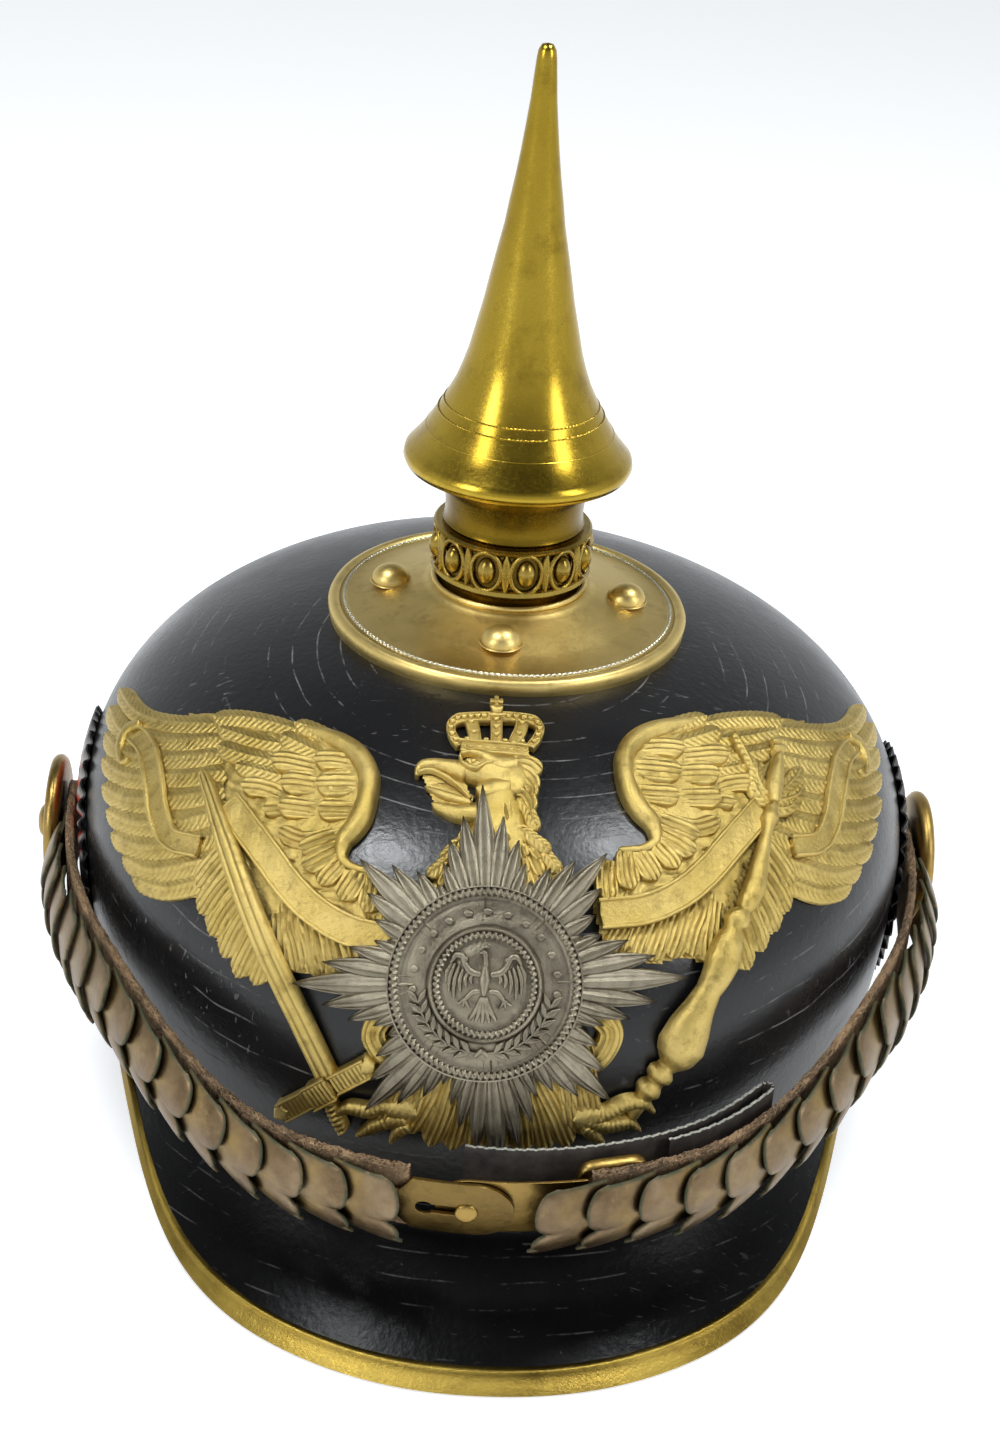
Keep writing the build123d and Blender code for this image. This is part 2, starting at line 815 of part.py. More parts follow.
nut_bed = shell_wall + play / 2
with BuildPart() as plate_nuts:
    for point in plate_posts:
        with BuildSketch(post_plane(point)):
            Rectangle(nut_width, nut_width)
        extrude(amount=-(nut_bed + nut_thickness + shell_wall))
    add(dome(-nut_bed, 0), mode=Mode.INTERSECT)
    add(dome(-nut_bed - nut_thickness, -overrun), mode=Mode.SUBTRACT)
    for point in plate_posts:
        with BuildSketch(post_plane(point)):
            Circle(post_radius)
        extrude(amount=far / 8, both=True, mode=Mode.SUBTRACT)
plate_nuts.part.label = "plate_nuts"
export_step(plate_nuts.part, "parts/plate_nuts.step")


# Chinscales: the band's line runs round the shell from one rosette to the other
def band_height(turn_degrees):
    """Height of the band's middle, low in front and level with the rosettes at the sides"""
    climb_share = (abs(turn_degrees) - band_level_turn) / band_rise_turn
    climb_share = min(max(climb_share, 0), 1)
    return band_front_height + (pivot_height - band_front_height) * (1 - cos(pi * climb_share)) / 2


def band_point(turn_degrees, grow):
    """Plan point of the band, grow outside the middle of its leather"""
    gap = band_side_gap + (band_front_gap - band_side_gap) * cos(radians(turn_degrees)) ** 2
    side = (shell_half_width + gap + grow) * sin(radians(turn_degrees))
    ahead = (shell_half_length + gap + grow) * cos(radians(turn_degrees))
    return side, -ahead


def band_ring(start, end, inner, outer, low, high):
    """Piece of band between two turns, two distances and two heights from its middle line"""
    steps = 10
    turns = [start + (end - start) * index / steps for index in range(steps + 1)]
    with BuildPart() as ring:
        with BuildSketch():
            with BuildLine():
                outside = [band_point(turn, outer) for turn in turns]
                inside = [band_point(turn, inner) for turn in turns]
                Spline(*outside)
                Spline(*inside)
                Line(outside[0], inside[0])
                Line(outside[-1], inside[-1])
            make_face()
        extrude(amount=far / 2)
        with BuildSketch(Plane.YZ):
            side_turns = [index * 9 for index in range(11)]
            lower = [(band_point(turn, 0)[1], band_height(turn) + low) for turn in side_turns]
            upper = [(band_point(turn, 0)[1], band_height(turn) + high) for turn in side_turns]
            lower = [(-far / 2, lower[0][1])] + lower + [(far / 10, lower[-1][1])]
            upper = [(-far / 2, upper[0][1])] + upper + [(far / 10, upper[-1][1])]
            with BuildLine():
                Polyline(*lower)
                Polyline(*upper)
                Line(lower[0], upper[0])
                Line(lower[-1], upper[-1])
            make_face()
        extrude(amount=far / 2, both=True, mode=Mode.INTERSECT)
    return ring.part


band_points = []
for turn in range(0, 91, 6):
    side, ahead = band_point(turn, strap_thickness / 2)
    band_points.append((side, ahead, band_height(turn)))
band_line = Spline(*band_points[::-1])
band_length = band_line.length


def band_plane(distance, lift):
    """Plane on the right half's leather: X runs along the band to the front, Z stands out of it"""
    share = distance / band_length
    spot = band_line.position_at(share)
    way = band_line.tangent_at(share)
    out = Vector(way.Y, -way.X, 0).normalized() * -1
    if out.X * spot.X + out.Y * spot.Y < 0:
        out = out * -1
    return Plane(origin=spot + out * lift, x_dir=way, z_dir=out)


def convex_strip(length):
    """Arched plate, convex across the band, that starts at the origin and runs along X"""
    half = scale_width / 2
    with BuildPart() as strip:
        with BuildSketch(Plane.YZ):
            with BuildLine():
                Polyline(
                    (-half, scale_thickness),
                    (-half, 0),
                )
                ThreePointArc((-half, 0), (0, scale_arch), (half, 0))
                Polyline(
                    (half, 0),
                    (half, scale_thickness),
                )
                ThreePointArc((half, scale_thickness), (0, scale_arch + scale_thickness), (-half, scale_thickness))
            make_face()
        extrude(amount=length)
    return strip.part


with BuildPart() as chin_scale:
    add(convex_strip(scale_length))
    lobe_radius = scale_width / 2 / scale_lobes
    with BuildSketch():
        Rectangle(scale_length - lobe_radius, scale_width, align=(Align.MIN, Align.CENTER))
        for index in range(scale_lobes):
            with Locations((scale_length - lobe_radius, (index * 2 + 1) * lobe_radius - scale_width / 2)):
                Circle(lobe_radius)
    extrude(amount=scale_width, mode=Mode.INTERSECT)

scale_places = [
    band_plane(first_scale_distance + index * scale_pitch, play).rotated((0, -scale_tilt, 0))
    for index in range(scale_count)
]
leather_out = strap_thickness / 2
side_face = shell_half_width + band_side_gap + leather_out
eye_radius = strap_width / 2
lug_face = side_face + play
with BuildPart() as chin_lug:
    with BuildSketch(Plane.YZ.offset(lug_face)):
        with Locations((0, pivot_height)):
            Circle(scale_width / 2)
        with Locations((-first_scale_distance / 2 - scale_arch, pivot_height)):
            Rectangle(first_scale_distance + scale_arch, scale_width * 0.7)
        with Locations((0, pivot_height)):
            Circle(rosette_post_radius + play, mode=Mode.SUBTRACT)
    extrude(amount=scale_thickness)
with BuildPart() as chinscales_right:
    add(chin_lug.part)
    for place in scale_places:
        with Locations(place.location):
            add(chin_scale.part)
chinscales_right.part.label = "chinscales_right"
export_step(chinscales_right.part, "parts/chinscales_right.step")

with BuildPart() as shorter_half:
    add(chin_lug.part)
    for place in scale_places[:-1]:
        with Locations(place.location):
            add(chin_scale.part)
with BuildPart() as chinscales_left:
    add(shorter_half.part.mirror(Plane.YZ))
chinscales_left.part.label = "chinscales_left"
export_step(chinscales_left.part, "parts/chinscales_left.step")

half_strap = strap_width / 2
with BuildPart() as backing_strap_right:
    add(band_ring(leather_end_turn, 90, -leather_out, leather_out, -half_strap, half_strap))
    with BuildSketch(Plane.YZ.offset(side_face - strap_thickness)):
        with Locations((0, pivot_height)):
            Circle(eye_radius)
    extrude(amount=strap_thickness)
    with BuildSketch(Plane.YZ.offset(side_face - overrun)):
        with Locations((0, pivot_height)):
            Circle(rosette_post_radius + play)
    extrude(amount=overrun * 2, mode=Mode.SUBTRACT)
backing_strap_right.part.label = "backing_strap_right"
export_step(backing_strap_right.part, "parts/backing_strap_right.step")

with BuildPart() as backing_strap_left:
    add(backing_strap_right.part.mirror(Plane.YZ))
backing_strap_left.part.label = "backing_strap_left"
export_step(backing_strap_left.part, "parts/backing_strap_left.step")

end_plate_half = scale_width / 2 - play * 3
stud_plate_in = leather_out - end_plate_thickness
key_plate_in = leather_out + play
hook_side, hook_ahead = band_point(hook_turn, key_plate_in)
hook_place = Plane(origin=(hook_side, hook_ahead, band_front_height), x_dir=(1, 0, 0), z_dir=(0, -1, 0))
hook_neck_radius = key_slot_width / 2 - play
with BuildPart() as stud_plate:
    add(
        band_ring(
            hook_turn * 2, leather_end_turn - play, stud_plate_in, leather_out, -end_plate_half, end_plate_half
        )
    )
    with BuildSketch(hook_place.offset(-overrun)):
        Circle(hook_neck_radius + play / 3)
    extrude(amount=overrun * 2, mode=Mode.SUBTRACT)
stud_plate.part.label = "stud_plate"
export_step(stud_plate.part, "parts/stud_plate.step")

hook_high = end_plate_thickness + play * 2
hook_low = key_plate_in - stud_plate_in + play
with BuildPart() as hook_stud:
    with BuildSketch(hook_place.offset(-hook_low - end_plate_thickness)):
        Circle(hook_neck_radius)
    extrude(amount=hook_low + end_plate_thickness + hook_high)
    with BuildSketch(hook_place.offset(hook_high)):
        Circle(hook_head_radius)
    extrude(amount=end_plate_thickness)
    with BuildSketch(hook_place.offset(-hook_low)):
        Circle(hook_neck_radius * 1.6)
    extrude(amount=-end_plate_thickness)
hook_stud.part.label = "hook_stud"
export_step(hook_stud.part, "parts/hook_stud.step")

key_plate_out = key_plate_in + end_plate_thickness
with BuildPart() as keyhole_plate:
    add(band_ring(key_neck_turn, -hook_turn / 2, key_plate_in, key_plate_out, -end_plate_half, end_plate_half))
    add(
        band_ring(
            key_tail_turn, key_neck_turn, key_plate_in, key_plate_out, -end_plate_half / 2, end_plate_half / 2
        )
    )
    with BuildSketch(hook_place.offset(-overrun)):
        Circle(key_slot_width / 2)
        with Locations((-key_slot_length / 2, 0)):
            Rectangle(key_slot_length, key_slot_width)
        with Locations((-key_slot_length, 0)):
            Circle(key_hole_radius)
    extrude(amount=overrun * 2, mode=Mode.SUBTRACT)
keyhole_plate.part.label = "keyhole_plate"
export_step(keyhole_plate.part, "parts/keyhole_plate.step")

# Buckle and the thin strap behind the right half
buckle_distance = band_length - (shell_half_width + band_front_gap) * sin(radians(buckle_turn))
buckle_place = band_plane(buckle_distance, -strap_thickness - play - buckle_wire)
buckle_rise = (scale_width - buckle_height) / 2
with BuildPart() as buckle_frame:
    with BuildSketch(buckle_place):
        with Locations((0, -buckle_rise)):
            RectangleRounded(buckle_width, buckle_height, buckle_wire)
            RectangleRounded(
                buckle_width - buckle_wire * 2, buckle_height - buckle_wire * 2, buckle_wire / 2, mode=Mode.SUBTRACT
            )
    extrude(amount=buckle_wire)
buckle_frame.part.label = "buckle_frame"
export_step(buckle_frame.part, "parts/buckle_frame.step")

with BuildPart() as buckle_prong:
    with BuildSketch(buckle_place.offset(buckle_wire / 4)):
        with Locations((0, -buckle_rise)):
            Rectangle(buckle_width - buckle_wire * 2 - play / 3, buckle_wire / 2)
    extrude(amount=buckle_wire / 2)
buckle_prong.part.label = "buckle_prong"
export_step(buckle_prong.part, "parts/buckle_prong.step")

thin_low = scale_width / 2 - thin_strap_width + play * 4
thin_high = scale_width / 2 + play * 4
thin_in = -leather_out - play * 2 - buckle_wire - thin_strap_thickness
loop_radius = thin_strap_thickness * 2
fold_in = thin_in + loop_radius * 2 - thin_strap_thickness
loop_side, loop_ahead = band_point(thin_end_turn, thin_in + loop_radius)
loop_start = Plane(
    origin=(loop_side, loop_ahead, 0),
    x_dir=(cos(radians(thin_end_turn)), sin(radians(thin_end_turn)), 0),
    z_dir=(0, 0, 1),
)
with BuildPart() as adjusting_strap:
    add(band_ring(thin_start_turn, thin_end_turn, thin_in, thin_in + thin_strap_thickness, thin_low, thin_high))
    add(band_ring(thin_fold_turn, thin_end_turn, fold_in, fold_in + thin_strap_thickness, thin_low, thin_high))
    with BuildSketch(loop_start.offset(band_height(thin_end_turn) + thin_low)):
        Circle(loop_radius)
        Circle(loop_radius - thin_strap_thickness, mode=Mode.SUBTRACT)
        with Locations((-loop_radius, 0)):
            Rectangle(loop_radius * 2, loop_radius * 2, mode=Mode.SUBTRACT)
    extrude(amount=thin_strap_width)
adjusting_strap.part.label = "adjusting_strap"
export_step(adjusting_strap.part, "parts/adjusting_strap.step")


# Cockades and rosettes
rosette_face = lug_face + scale_thickness + play
with BuildPart() as cockade_right:
    with BuildSketch(Plane.YZ):
        with BuildLine():
            pleat_tips = []
            for index in range(cockade_pleats * 2):
                reach = cockade_radius if index % 2 == 0 else cockade_radius * 0.95
                angle = index * pi / cockade_pleats
                pleat_tips.append((reach * cos(angle), pivot_height + reach * sin(angle)))
            Polyline(*pleat_tips, close=True)
        make_face()
        with Locations((0, pivot_height)):
            Circle(rosette_post_radius + play, mode=Mode.SUBTRACT)
    extrude(amount=far / 2)
    add(dome(cockade_thickness + play, 0), mode=Mode.INTERSECT)
    add(dome(play, -overrun), mode=Mode.SUBTRACT)
cockade_right.part.label = "cockade_right"
export_step(cockade_right.part, "parts/cockade_right.step")

with BuildPart() as cockade_left:
    add(cockade_right.part.mirror(Plane.YZ))
cockade_left.part.label = "cockade_left"
export_step(cockade_left.part, "parts/cockade_left.step")

rosette_place = Plane(origin=(rosette_face, 0, pivot_height), x_dir=(0, 1, 0), z_dir=(1, 0, 0))
post_inside = rosette_face - shell_half_width + shell_wall + nut_thickness + play * 3
with BuildPart() as rosette_form:
    with BuildSketch(Plane.XZ):
        rim_middle = rosette_radius - rosette_roll
        Polygon(
            (0, 0),
            (rim_middle, 0),
            (rim_middle, rosette_roll),
            (rim_middle - rosette_roll * 2, rosette_roll * 0.8),
            (rosette_dome_radius * 1.5, rosette_depth * 0.8),
            (rosette_dome_radius, rosette_depth),
            (0, rosette_depth),
            align=None,
        )
        with Locations((rim_middle, rosette_roll)):
            Circle(rosette_roll)
        Polygon(
            (0, 0), (rosette_post_radius, 0), (rosette_post_radius, -post_inside), (0, -post_inside), align=None
        )
    revolve(axis=Axis.Z)
    with Locations((0, 0, rosette_depth)):
        add(dome_stud(rosette_dome_radius, rosette_dome_height - rosette_depth, rosette_post_radius, rosette_depth))
with BuildPart() as rosette_right:
    with Locations(rosette_place.location):
        add(rosette_form.part)
rosette_right.part.label = "rosette_right"
export_step(rosette_right.part, "parts/rosette_right.step")

with BuildPart() as rosette_left:
    add(rosette_right.part.mirror(Plane.YZ))
rosette_left.part.label = "rosette_left"
export_step(rosette_left.part, "parts/rosette_left.step")

nut_face = shell_half_width * dome_share(pivot_height) - shell_wall - play * 2
with BuildPart() as rosette_nuts:
    for side in (-1, 1):
        with BuildSketch(Plane.YZ.offset(side * nut_face)):
            with Locations((0, pivot_height)):
                Rectangle(square_nut_width, square_nut_width)
                Circle(rosette_post_radius, mode=Mode.SUBTRACT)
        extrude(amount=-side * nut_thickness)
rosette_nuts.part.label = "rosette_nuts"
export_step(rosette_nuts.part, "parts/rosette_nuts.step")

stud_leg_length = shell_wall + stud_leg_radius * 2
with BuildPart() as side_studs:
    for place in side_stud_planes:
        with Locations(place.offset(play).location):
            add(dome_stud(stud_head_radius * 0.9, stud_head_height, stud_leg_radius, stud_leg_length))
side_studs.part.label = "side_studs"
export_step(side_studs.part, "parts/side_studs.step")


# Back spine with its vent slide
with BuildPart() as rear_spine:
    with BuildSketch(Plane.XZ):
        with Locations((0, peak_lap_height + play)):
            Rectangle(spine_width, shell_top_height, align=(Align.CENTER, Align.MIN))
    extrude(amount=-far / 2)
    add(dome(spine_thickness, 0), mode=Mode.INTERSECT)
    add(dome(play, -overrun), mode=Mode.SUBTRACT)
    Cylinder(plate_radius + play, far, mode=Mode.SUBTRACT)
    for place in spine_stud_planes:
        with BuildSketch(place):
            Circle(stud_leg_radius + play)
        extrude(amount=shell_wall, both=True, mode=Mode.SUBTRACT)
rear_spine.part.label = "rear_spine"
export_step(rear_spine.part, "parts/rear_spine.step")

with BuildPart() as spine_studs:
    for place in spine_stud_planes:
        with Locations(place.offset(play * 2).location):
            add(
                dome_stud(
                    spine_stud_radius, spine_stud_height, stud_leg_radius, stud_leg_length + spine_thickness
                )
            )
spine_studs.part.label = "spine_studs"
export_step(spine_studs.part, "parts/spine_studs.step")

slide_inside = spine_thickness + play * 2
vent_middle = vent_slide_height + vent_slide_length / 2
with BuildPart() as spine_channel:
    with BuildSketch(Plane.XZ):
        with Locations((0, vent_middle)):
            Rectangle(spine_width + play * 3, vent_slide_length * 3)
    extrude(amount=-far / 2)
    add(dome(slide_inside, 0), mode=Mode.INTERSECT)
with BuildPart() as vent_slide:
    with BuildSketch(Plane.XZ):
        with Locations((0, vent_middle)):
            Rectangle(spine_width + slide_wall * 2 + play * 3, vent_slide_length)
    extrude(amount=-far / 2)
    add(dome(slide_inside + slide_wall, 0), mode=Mode.INTERSECT)
    with Locations((0, shell_half_length + slide_inside + slide_wall, vent_middle)):
        Sphere(slide_wall * 2)
    add(dome(play, -overrun), mode=Mode.SUBTRACT)
    add(spine_channel.part, mode=Mode.SUBTRACT)
vent_slide.part.label = "vent_slide"
export_step(vent_slide.part, "parts/vent_slide.step")


# Inside
band_outside = -shell_wall - lining_gap
band_inside = band_outside - sweatband_thickness
sweatband_top = shell_edge_height + sweatband_height
with BuildPart() as sweatband_foot:
    add(dome(-shell_wall - play, shell_edge_height - overrun))
    with BuildSketch(Plane.XY.offset(shell_edge_height)):
        Rectangle(far, far)
    extrude(amount=sweatband_thickness, mode=Mode.INTERSECT)
with BuildPart() as sweatband:
    add(dome(band_outside, shell_edge_height - overrun))
    with BuildSketch(Plane.XY.offset(shell_edge_height)):
        Rectangle(far, far)
    extrude(amount=sweatband_height, mode=Mode.INTERSECT)
    add(sweatband_foot.part)
    add(dome(band_inside, shell_edge_height - overrun), mode=Mode.SUBTRACT)
sweatband.part.label = "sweatband"
export_step(sweatband.part, "parts/sweatband.step")

lining_low = sweatband_top + play / 3
with BuildPart() as crown_lining:
    add(dome(band_outside, lining_low))
    add(dome(band_outside - crown_lining_thickness, lining_low - overrun), mode=Mode.SUBTRACT)
    Cylinder(crown_opening_radius, far * 2, mode=Mode.SUBTRACT)
crown_lining.part.label = "crown_lining"
export_step(crown_lining.part, "parts/crown_lining.step")
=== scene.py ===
"""Looks of the spiked parade helmet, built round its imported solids.

Lengths in the tables are in millimetres, heights are over the ground, and turns are in degrees.
"""
import math

import bpy
import numpy as np
from mathutils import Matrix, Vector


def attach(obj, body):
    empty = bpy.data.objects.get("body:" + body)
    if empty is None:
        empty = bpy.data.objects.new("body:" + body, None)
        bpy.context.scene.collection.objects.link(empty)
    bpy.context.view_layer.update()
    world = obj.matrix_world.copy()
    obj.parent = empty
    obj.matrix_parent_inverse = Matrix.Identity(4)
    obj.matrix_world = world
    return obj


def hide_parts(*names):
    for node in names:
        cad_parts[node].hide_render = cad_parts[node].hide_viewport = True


MM = 0.001
SEAM_GAP = 0.01 * MM
MIRROR = Matrix.Scale(-1, 4, (1, 0, 0))
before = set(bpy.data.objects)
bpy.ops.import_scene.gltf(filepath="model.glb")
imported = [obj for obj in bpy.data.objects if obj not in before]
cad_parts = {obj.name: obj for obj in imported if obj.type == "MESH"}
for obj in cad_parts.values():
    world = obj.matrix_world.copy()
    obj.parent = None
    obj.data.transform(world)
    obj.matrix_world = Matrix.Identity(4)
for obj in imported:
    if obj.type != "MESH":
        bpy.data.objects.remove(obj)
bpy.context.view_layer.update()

# Shell form, as in the solids
HALF_WIDTH, HALF_LENGTH = 96.0, 107.0
WIDEST, TOP, EDGE = 62.0, 113.3, 15.0
ROUNDING, TAPER = 2.3, 0.05
SHELL_WALL, CROWN_HOLE = 2.5, 9.0

# Height of the rosettes, about which the chinscales swing
PIVOT = 50.0

# Leaning plane in which the front plate is drawn
PLATE_CENTRE, PLATE_REACH = 40.0, 220.0
PLATE_UP = np.array([0.0, 0.5, math.cos(math.radians(30))])
PLATE_OUT = np.array([0.0, -math.cos(math.radians(30)), 0.5])


# Handling pieces
def put_down():
    """Leave edit mode and let go of everything"""
    if bpy.context.object and bpy.context.object.mode != "OBJECT":
        bpy.ops.object.mode_set(mode="OBJECT")
    bpy.ops.object.select_all(action="DESELECT")


def take(piece):
    put_down()
    bpy.context.view_layer.objects.active = piece
    piece.select_set(True)
    return piece


def points(piece):
    spots = np.empty(len(piece.data.vertices) * 3)
    piece.data.vertices.foreach_get("co", spots)
    return spots.reshape(-1, 3)


def set_points(piece, spots):
    piece.data.vertices.foreach_set("co", np.ascontiguousarray(spots, dtype=float).ravel())
    piece.data.update()


def grid(along, across, form):
    """Grid primitive whose points are laid by form(s, t), s from 0 to 1 and t from -1 to 1"""
    put_down()
    bpy.ops.mesh.primitive_grid_add(x_subdivisions=along, y_subdivisions=across, size=2)
    piece = bpy.context.object
    flat = points(piece)
    set_points(piece, form((flat[:, 0] + 1) / 2, flat[:, 1]) * MM)
    return piece


def joined(name, pieces):
    put_down()
    for piece in pieces:
        piece.select_set(True)
    bpy.context.view_layer.objects.active = pieces[0]
    if len(pieces) > 1:
        bpy.ops.object.join()
    whole = bpy.context.object
    whole.name = name
    whole.data.name = name
    return whole


def copied(piece, turn):
    """Copy with its own mesh, moved by a 4 by 4 matrix in metres"""
    twin = piece.copy()
    twin.data = piece.data.copy()
    bpy.context.scene.collection.objects.link(twin)
    twin.data.transform(turn)
    if turn.determinant() < 0:
        twin.data.flip_normals()
    return twin


def repeated(pattern, places):
    """Copies of a piece at each place, in place of the piece itself"""
    twins = [copied(pattern, place) for place in places]
    bpy.data.objects.remove(pattern)
    return twins


def modified(piece, kind, **settings):
    take(piece)
    added = piece.modifiers.new(kind, kind)
    for key, value in settings.items():
        setattr(added, key, value)
    bpy.ops.object.modifier_apply(modifier=added.name)
    return piece


def outside_out(piece, gap=0.0):
    """Turn the faces outwards, after points closer than the gap are made one"""
    take(piece)
    bpy.ops.object.mode_set(mode="EDIT")
    bpy.ops.mesh.select_all(action="SELECT")
    if gap:
        bpy.ops.mesh.remove_doubles(threshold=gap)
    bpy.ops.mesh.normals_make_consistent(inside=False)
    bpy.ops.object.mode_set(mode="OBJECT")
    return piece


def merged(piece):
    return outside_out(piece, SEAM_GAP)


def walled(piece, wall, offset=-1.0):
    return modified(piece, "SOLIDIFY", thickness=wall * MM, offset=offset)


def eased(piece, width, angle):
    """Round the edges that are sharper than the angle"""
    return modified(piece, "BEVEL", width=width * MM, segments=2, limit_method="ANGLE",
                    angle_limit=math.radians(angle))


def smooth(piece, angle=40):
    take(piece)
    bpy.ops.object.shade_smooth_by_angle(angle=math.radians(angle))
    return piece


def finished(piece, name, finish, slot, *nodes, body="helmet"):
    piece.name = name
    piece.data.materials.clear()
    piece.data.materials.append(finish)
    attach(piece, body)
    if nodes:
        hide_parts(*nodes)
    return piece


# Lines of points
def running(line):
    """Length from the start of a line of points to each of them"""
    return np.concatenate([[0], np.cumsum(np.linalg.norm(np.diff(line, axis=0), axis=1))])


def walk(line, run, distance):
    """Columns of a line of points, read between its points"""
    return np.array([np.interp(distance, run, column) for column in np.array(line).T]).T


def curve(line, leg, part):
    """Places and directions on a smooth curve through points: leg counts them, part runs to the next"""
    line = np.vstack([2 * line[0] - line[1], line, 2 * line[-1] - line[-2]])
    p0, p1, p2, p3 = (line[leg + step] for step in range(4))
    spot = 0.5 * (2 * p1 + (p2 - p0) * part + (2 * p0 - 5 * p1 + 4 * p2 - p3) * part**2
                  + (3 * p1 - p0 - 3 * p2 + p3) * part**3)
    way = 0.5 * ((p2 - p0) + 2 * (2 * p0 - 5 * p1 + 4 * p2 - p3) * part
                 + 3 * (3 * p1 - p0 - 3 * p2 + p3) * part**2)
    return spot, way


# Surfaces the pieces lie on
def share(height):
    height = np.asarray(height, float)
    rise = np.clip((height - WIDEST) / (TOP - WIDEST), 0, 1)
    fall = np.clip((WIDEST - height) / (WIDEST - EDGE), 0, None)
    return np.where(height > WIDEST, (1 - rise**ROUNDING) ** (1 / ROUNDING), 1 - TAPER * fall**2)


def outward(spots):
    """Unit normals of the lacquer at points on it"""
    x, y, z = spots[:, 0], spots[:, 1], spots[:, 2]
    high = z > WIDEST
    plan = np.sqrt((x / HALF_WIDTH) ** 2 + (y / HALF_LENGTH) ** 2) + 1e-9
    rise = np.clip((z - WIDEST) / (TOP - WIDEST), 0, 1)
    fall = np.clip((WIDEST - z) / (WIDEST - EDGE), 0, None)
    power = np.where(high, plan ** (ROUNDING - 2), 1 / plan)
    up = np.where(high, rise ** (ROUNDING - 1) / (TOP - WIDEST), -2 * TAPER * fall / (WIDEST - EDGE))
    normal = np.c_[power * x / HALF_WIDTH**2, power * y / HALF_LENGTH**2, up]
    return normal / np.linalg.norm(normal, axis=1)[:, None]


def seat(side, rise, lift):
    """Points of the front plate, given flat, bent onto the lacquer and lifted off it"""
    side, rise, lift = np.broadcast_arrays(np.asarray(side, float), rise, lift)
    start = np.c_[side, np.zeros_like(side), np.full_like(side, PLATE_CENTRE)] + rise[:, None] * PLATE_UP
    near, far = np.zeros_like(side), np.full_like(side, PLATE_REACH)
    for _ in range(34):
        middle = (near + far) / 2
        spot = start + middle[:, None] * PLATE_OUT
        size = share(spot[:, 2])
        out = (spot[:, 0] / HALF_WIDTH) ** 2 + (spot[:, 1] / HALF_LENGTH) ** 2 > size**2
        near, far = np.where(out, near, middle), np.where(out, middle, far)
    spot = start + near[:, None] * PLATE_OUT
    return spot + outward(spot) * lift[:, None]


def along_path(path, s):
    """Place and direction along a smooth path through a list of flat points"""
    path = np.array(path, float)
    if len(path) == 2:
        path = np.array([path[0], path[0] * 2 / 3 + path[1] / 3, path[0] / 3 + path[1] * 2 / 3, path[1]])
    reach = running(path)
    run = s * reach[-1]
    leg = np.clip(np.searchsorted(reach, run, side="right") - 1, 0, len(path) - 2)
    spot, way = curve(path, leg, ((run - reach[leg]) / (reach[leg + 1] - reach[leg]))[:, None])
    return spot, way / (np.linalg.norm(way, axis=1)[:, None] + 1e-9)


def at(values, s):
    values = np.atleast_1d(np.array(values, float))
    return np.interp(s, np.linspace(0, 1, len(values)), values)


def as_is(side, rise):
    """The upper middle stands far off the lacquer, so it sits a little lower"""
    near = np.exp(-(((np.asarray(side) + 4) / 14) ** 4)) * np.clip((np.asarray(rise) - 6) / 8, 0, 1)
    return side, rise - 1.25 * near


def other_wing(side, rise):
    near = np.exp(-(((side + 31) / 9) ** 2) - ((rise - 20) / 13) ** 2)
    return -5.04 - 1.006 * side + 0.041 * rise - 2.7 * near, 7.24 + 0.034 * side + 0.987 * rise


# Stamped relief
def swell(path, widths, heights, low=0.3, edge=0.5, power=2.0, ends=(0.0, 0.0), carve=None,
          place=as_is, rows=0.6, across=10, lean=0.0):
    """Raised strip along a path: widths are half widths, edge 0.5 rounds it and 1 makes a ridge"""
    length = running(np.array(path, float))[-1]
    along = int(min(max(length / rows, 6), 160))

    def form(s, t):
        t = np.sign(t) * np.abs(t) ** 0.85
        spot, way = along_path(path, s)
        wide = at(widths, s)
        for end, gap in zip(ends, (s * length, (1 - s) * length)):
            if end:
                wide = wide * np.sqrt(np.clip(1 - (1 - np.clip(gap / end, 0, 1)) ** 2, 0, 1))
        side = spot[:, 0] - way[:, 1] * wide * t
        rise = spot[:, 1] + way[:, 0] * wide * t
        lift = at(low, s) + at(heights, s) * (1 - np.abs(t) ** power) ** edge + lean * t
        if carve is not None:
            lift = lift + carve(s * length, t, wide) * (1 - np.abs(t) ** 6)
        side, rise = place(side, rise)
        return seat(side, rise, np.where(np.abs(t) > 0.999, np.maximum(lift - 0.6, 0.05), lift))

    piece = grid(along, across, form)
    if place is other_wing:
        piece.data.flip_normals()
    return piece


def barbs(run, t, wide):
    """Quill and slanting barbs of a feather"""
    slant = np.sin(2 * np.pi * (run - np.abs(t) * wide * 1.1) / 1.25)
    return 0.19 * slant * np.clip(np.abs(t) * 3, 0, 1) + 0.3 * np.exp(-((t / 0.12) ** 2))


def fan_lines(run, t, wide):
    return 0.24 * np.cos(2 * np.pi * t * wide / 1.15)


def feather(path, width, low, high, place=as_is, lean=0.18, carve=barbs):
    return swell(path, [width * 0.75, width * 0.95, width, width * 1.06, width * 1.04],
                 [0.3, 0.5, 0.75, 1.0, 1.0], low=(low, high), power=2.4, ends=(0, width * 1.15), carve=carve,
                 place=place, rows=0.3, across=16, lean=lean)


def thirds(start, end, bow=0.0):
    """Start, end and two points between them, the second one moved aside"""
    return [start, ((start[0] * 2 + end[0]) / 3, (start[1] * 2 + end[1]) / 3),
            ((start[0] + end[0] * 2) / 3 + bow, (start[1] + end[1] * 2) / 3), end]


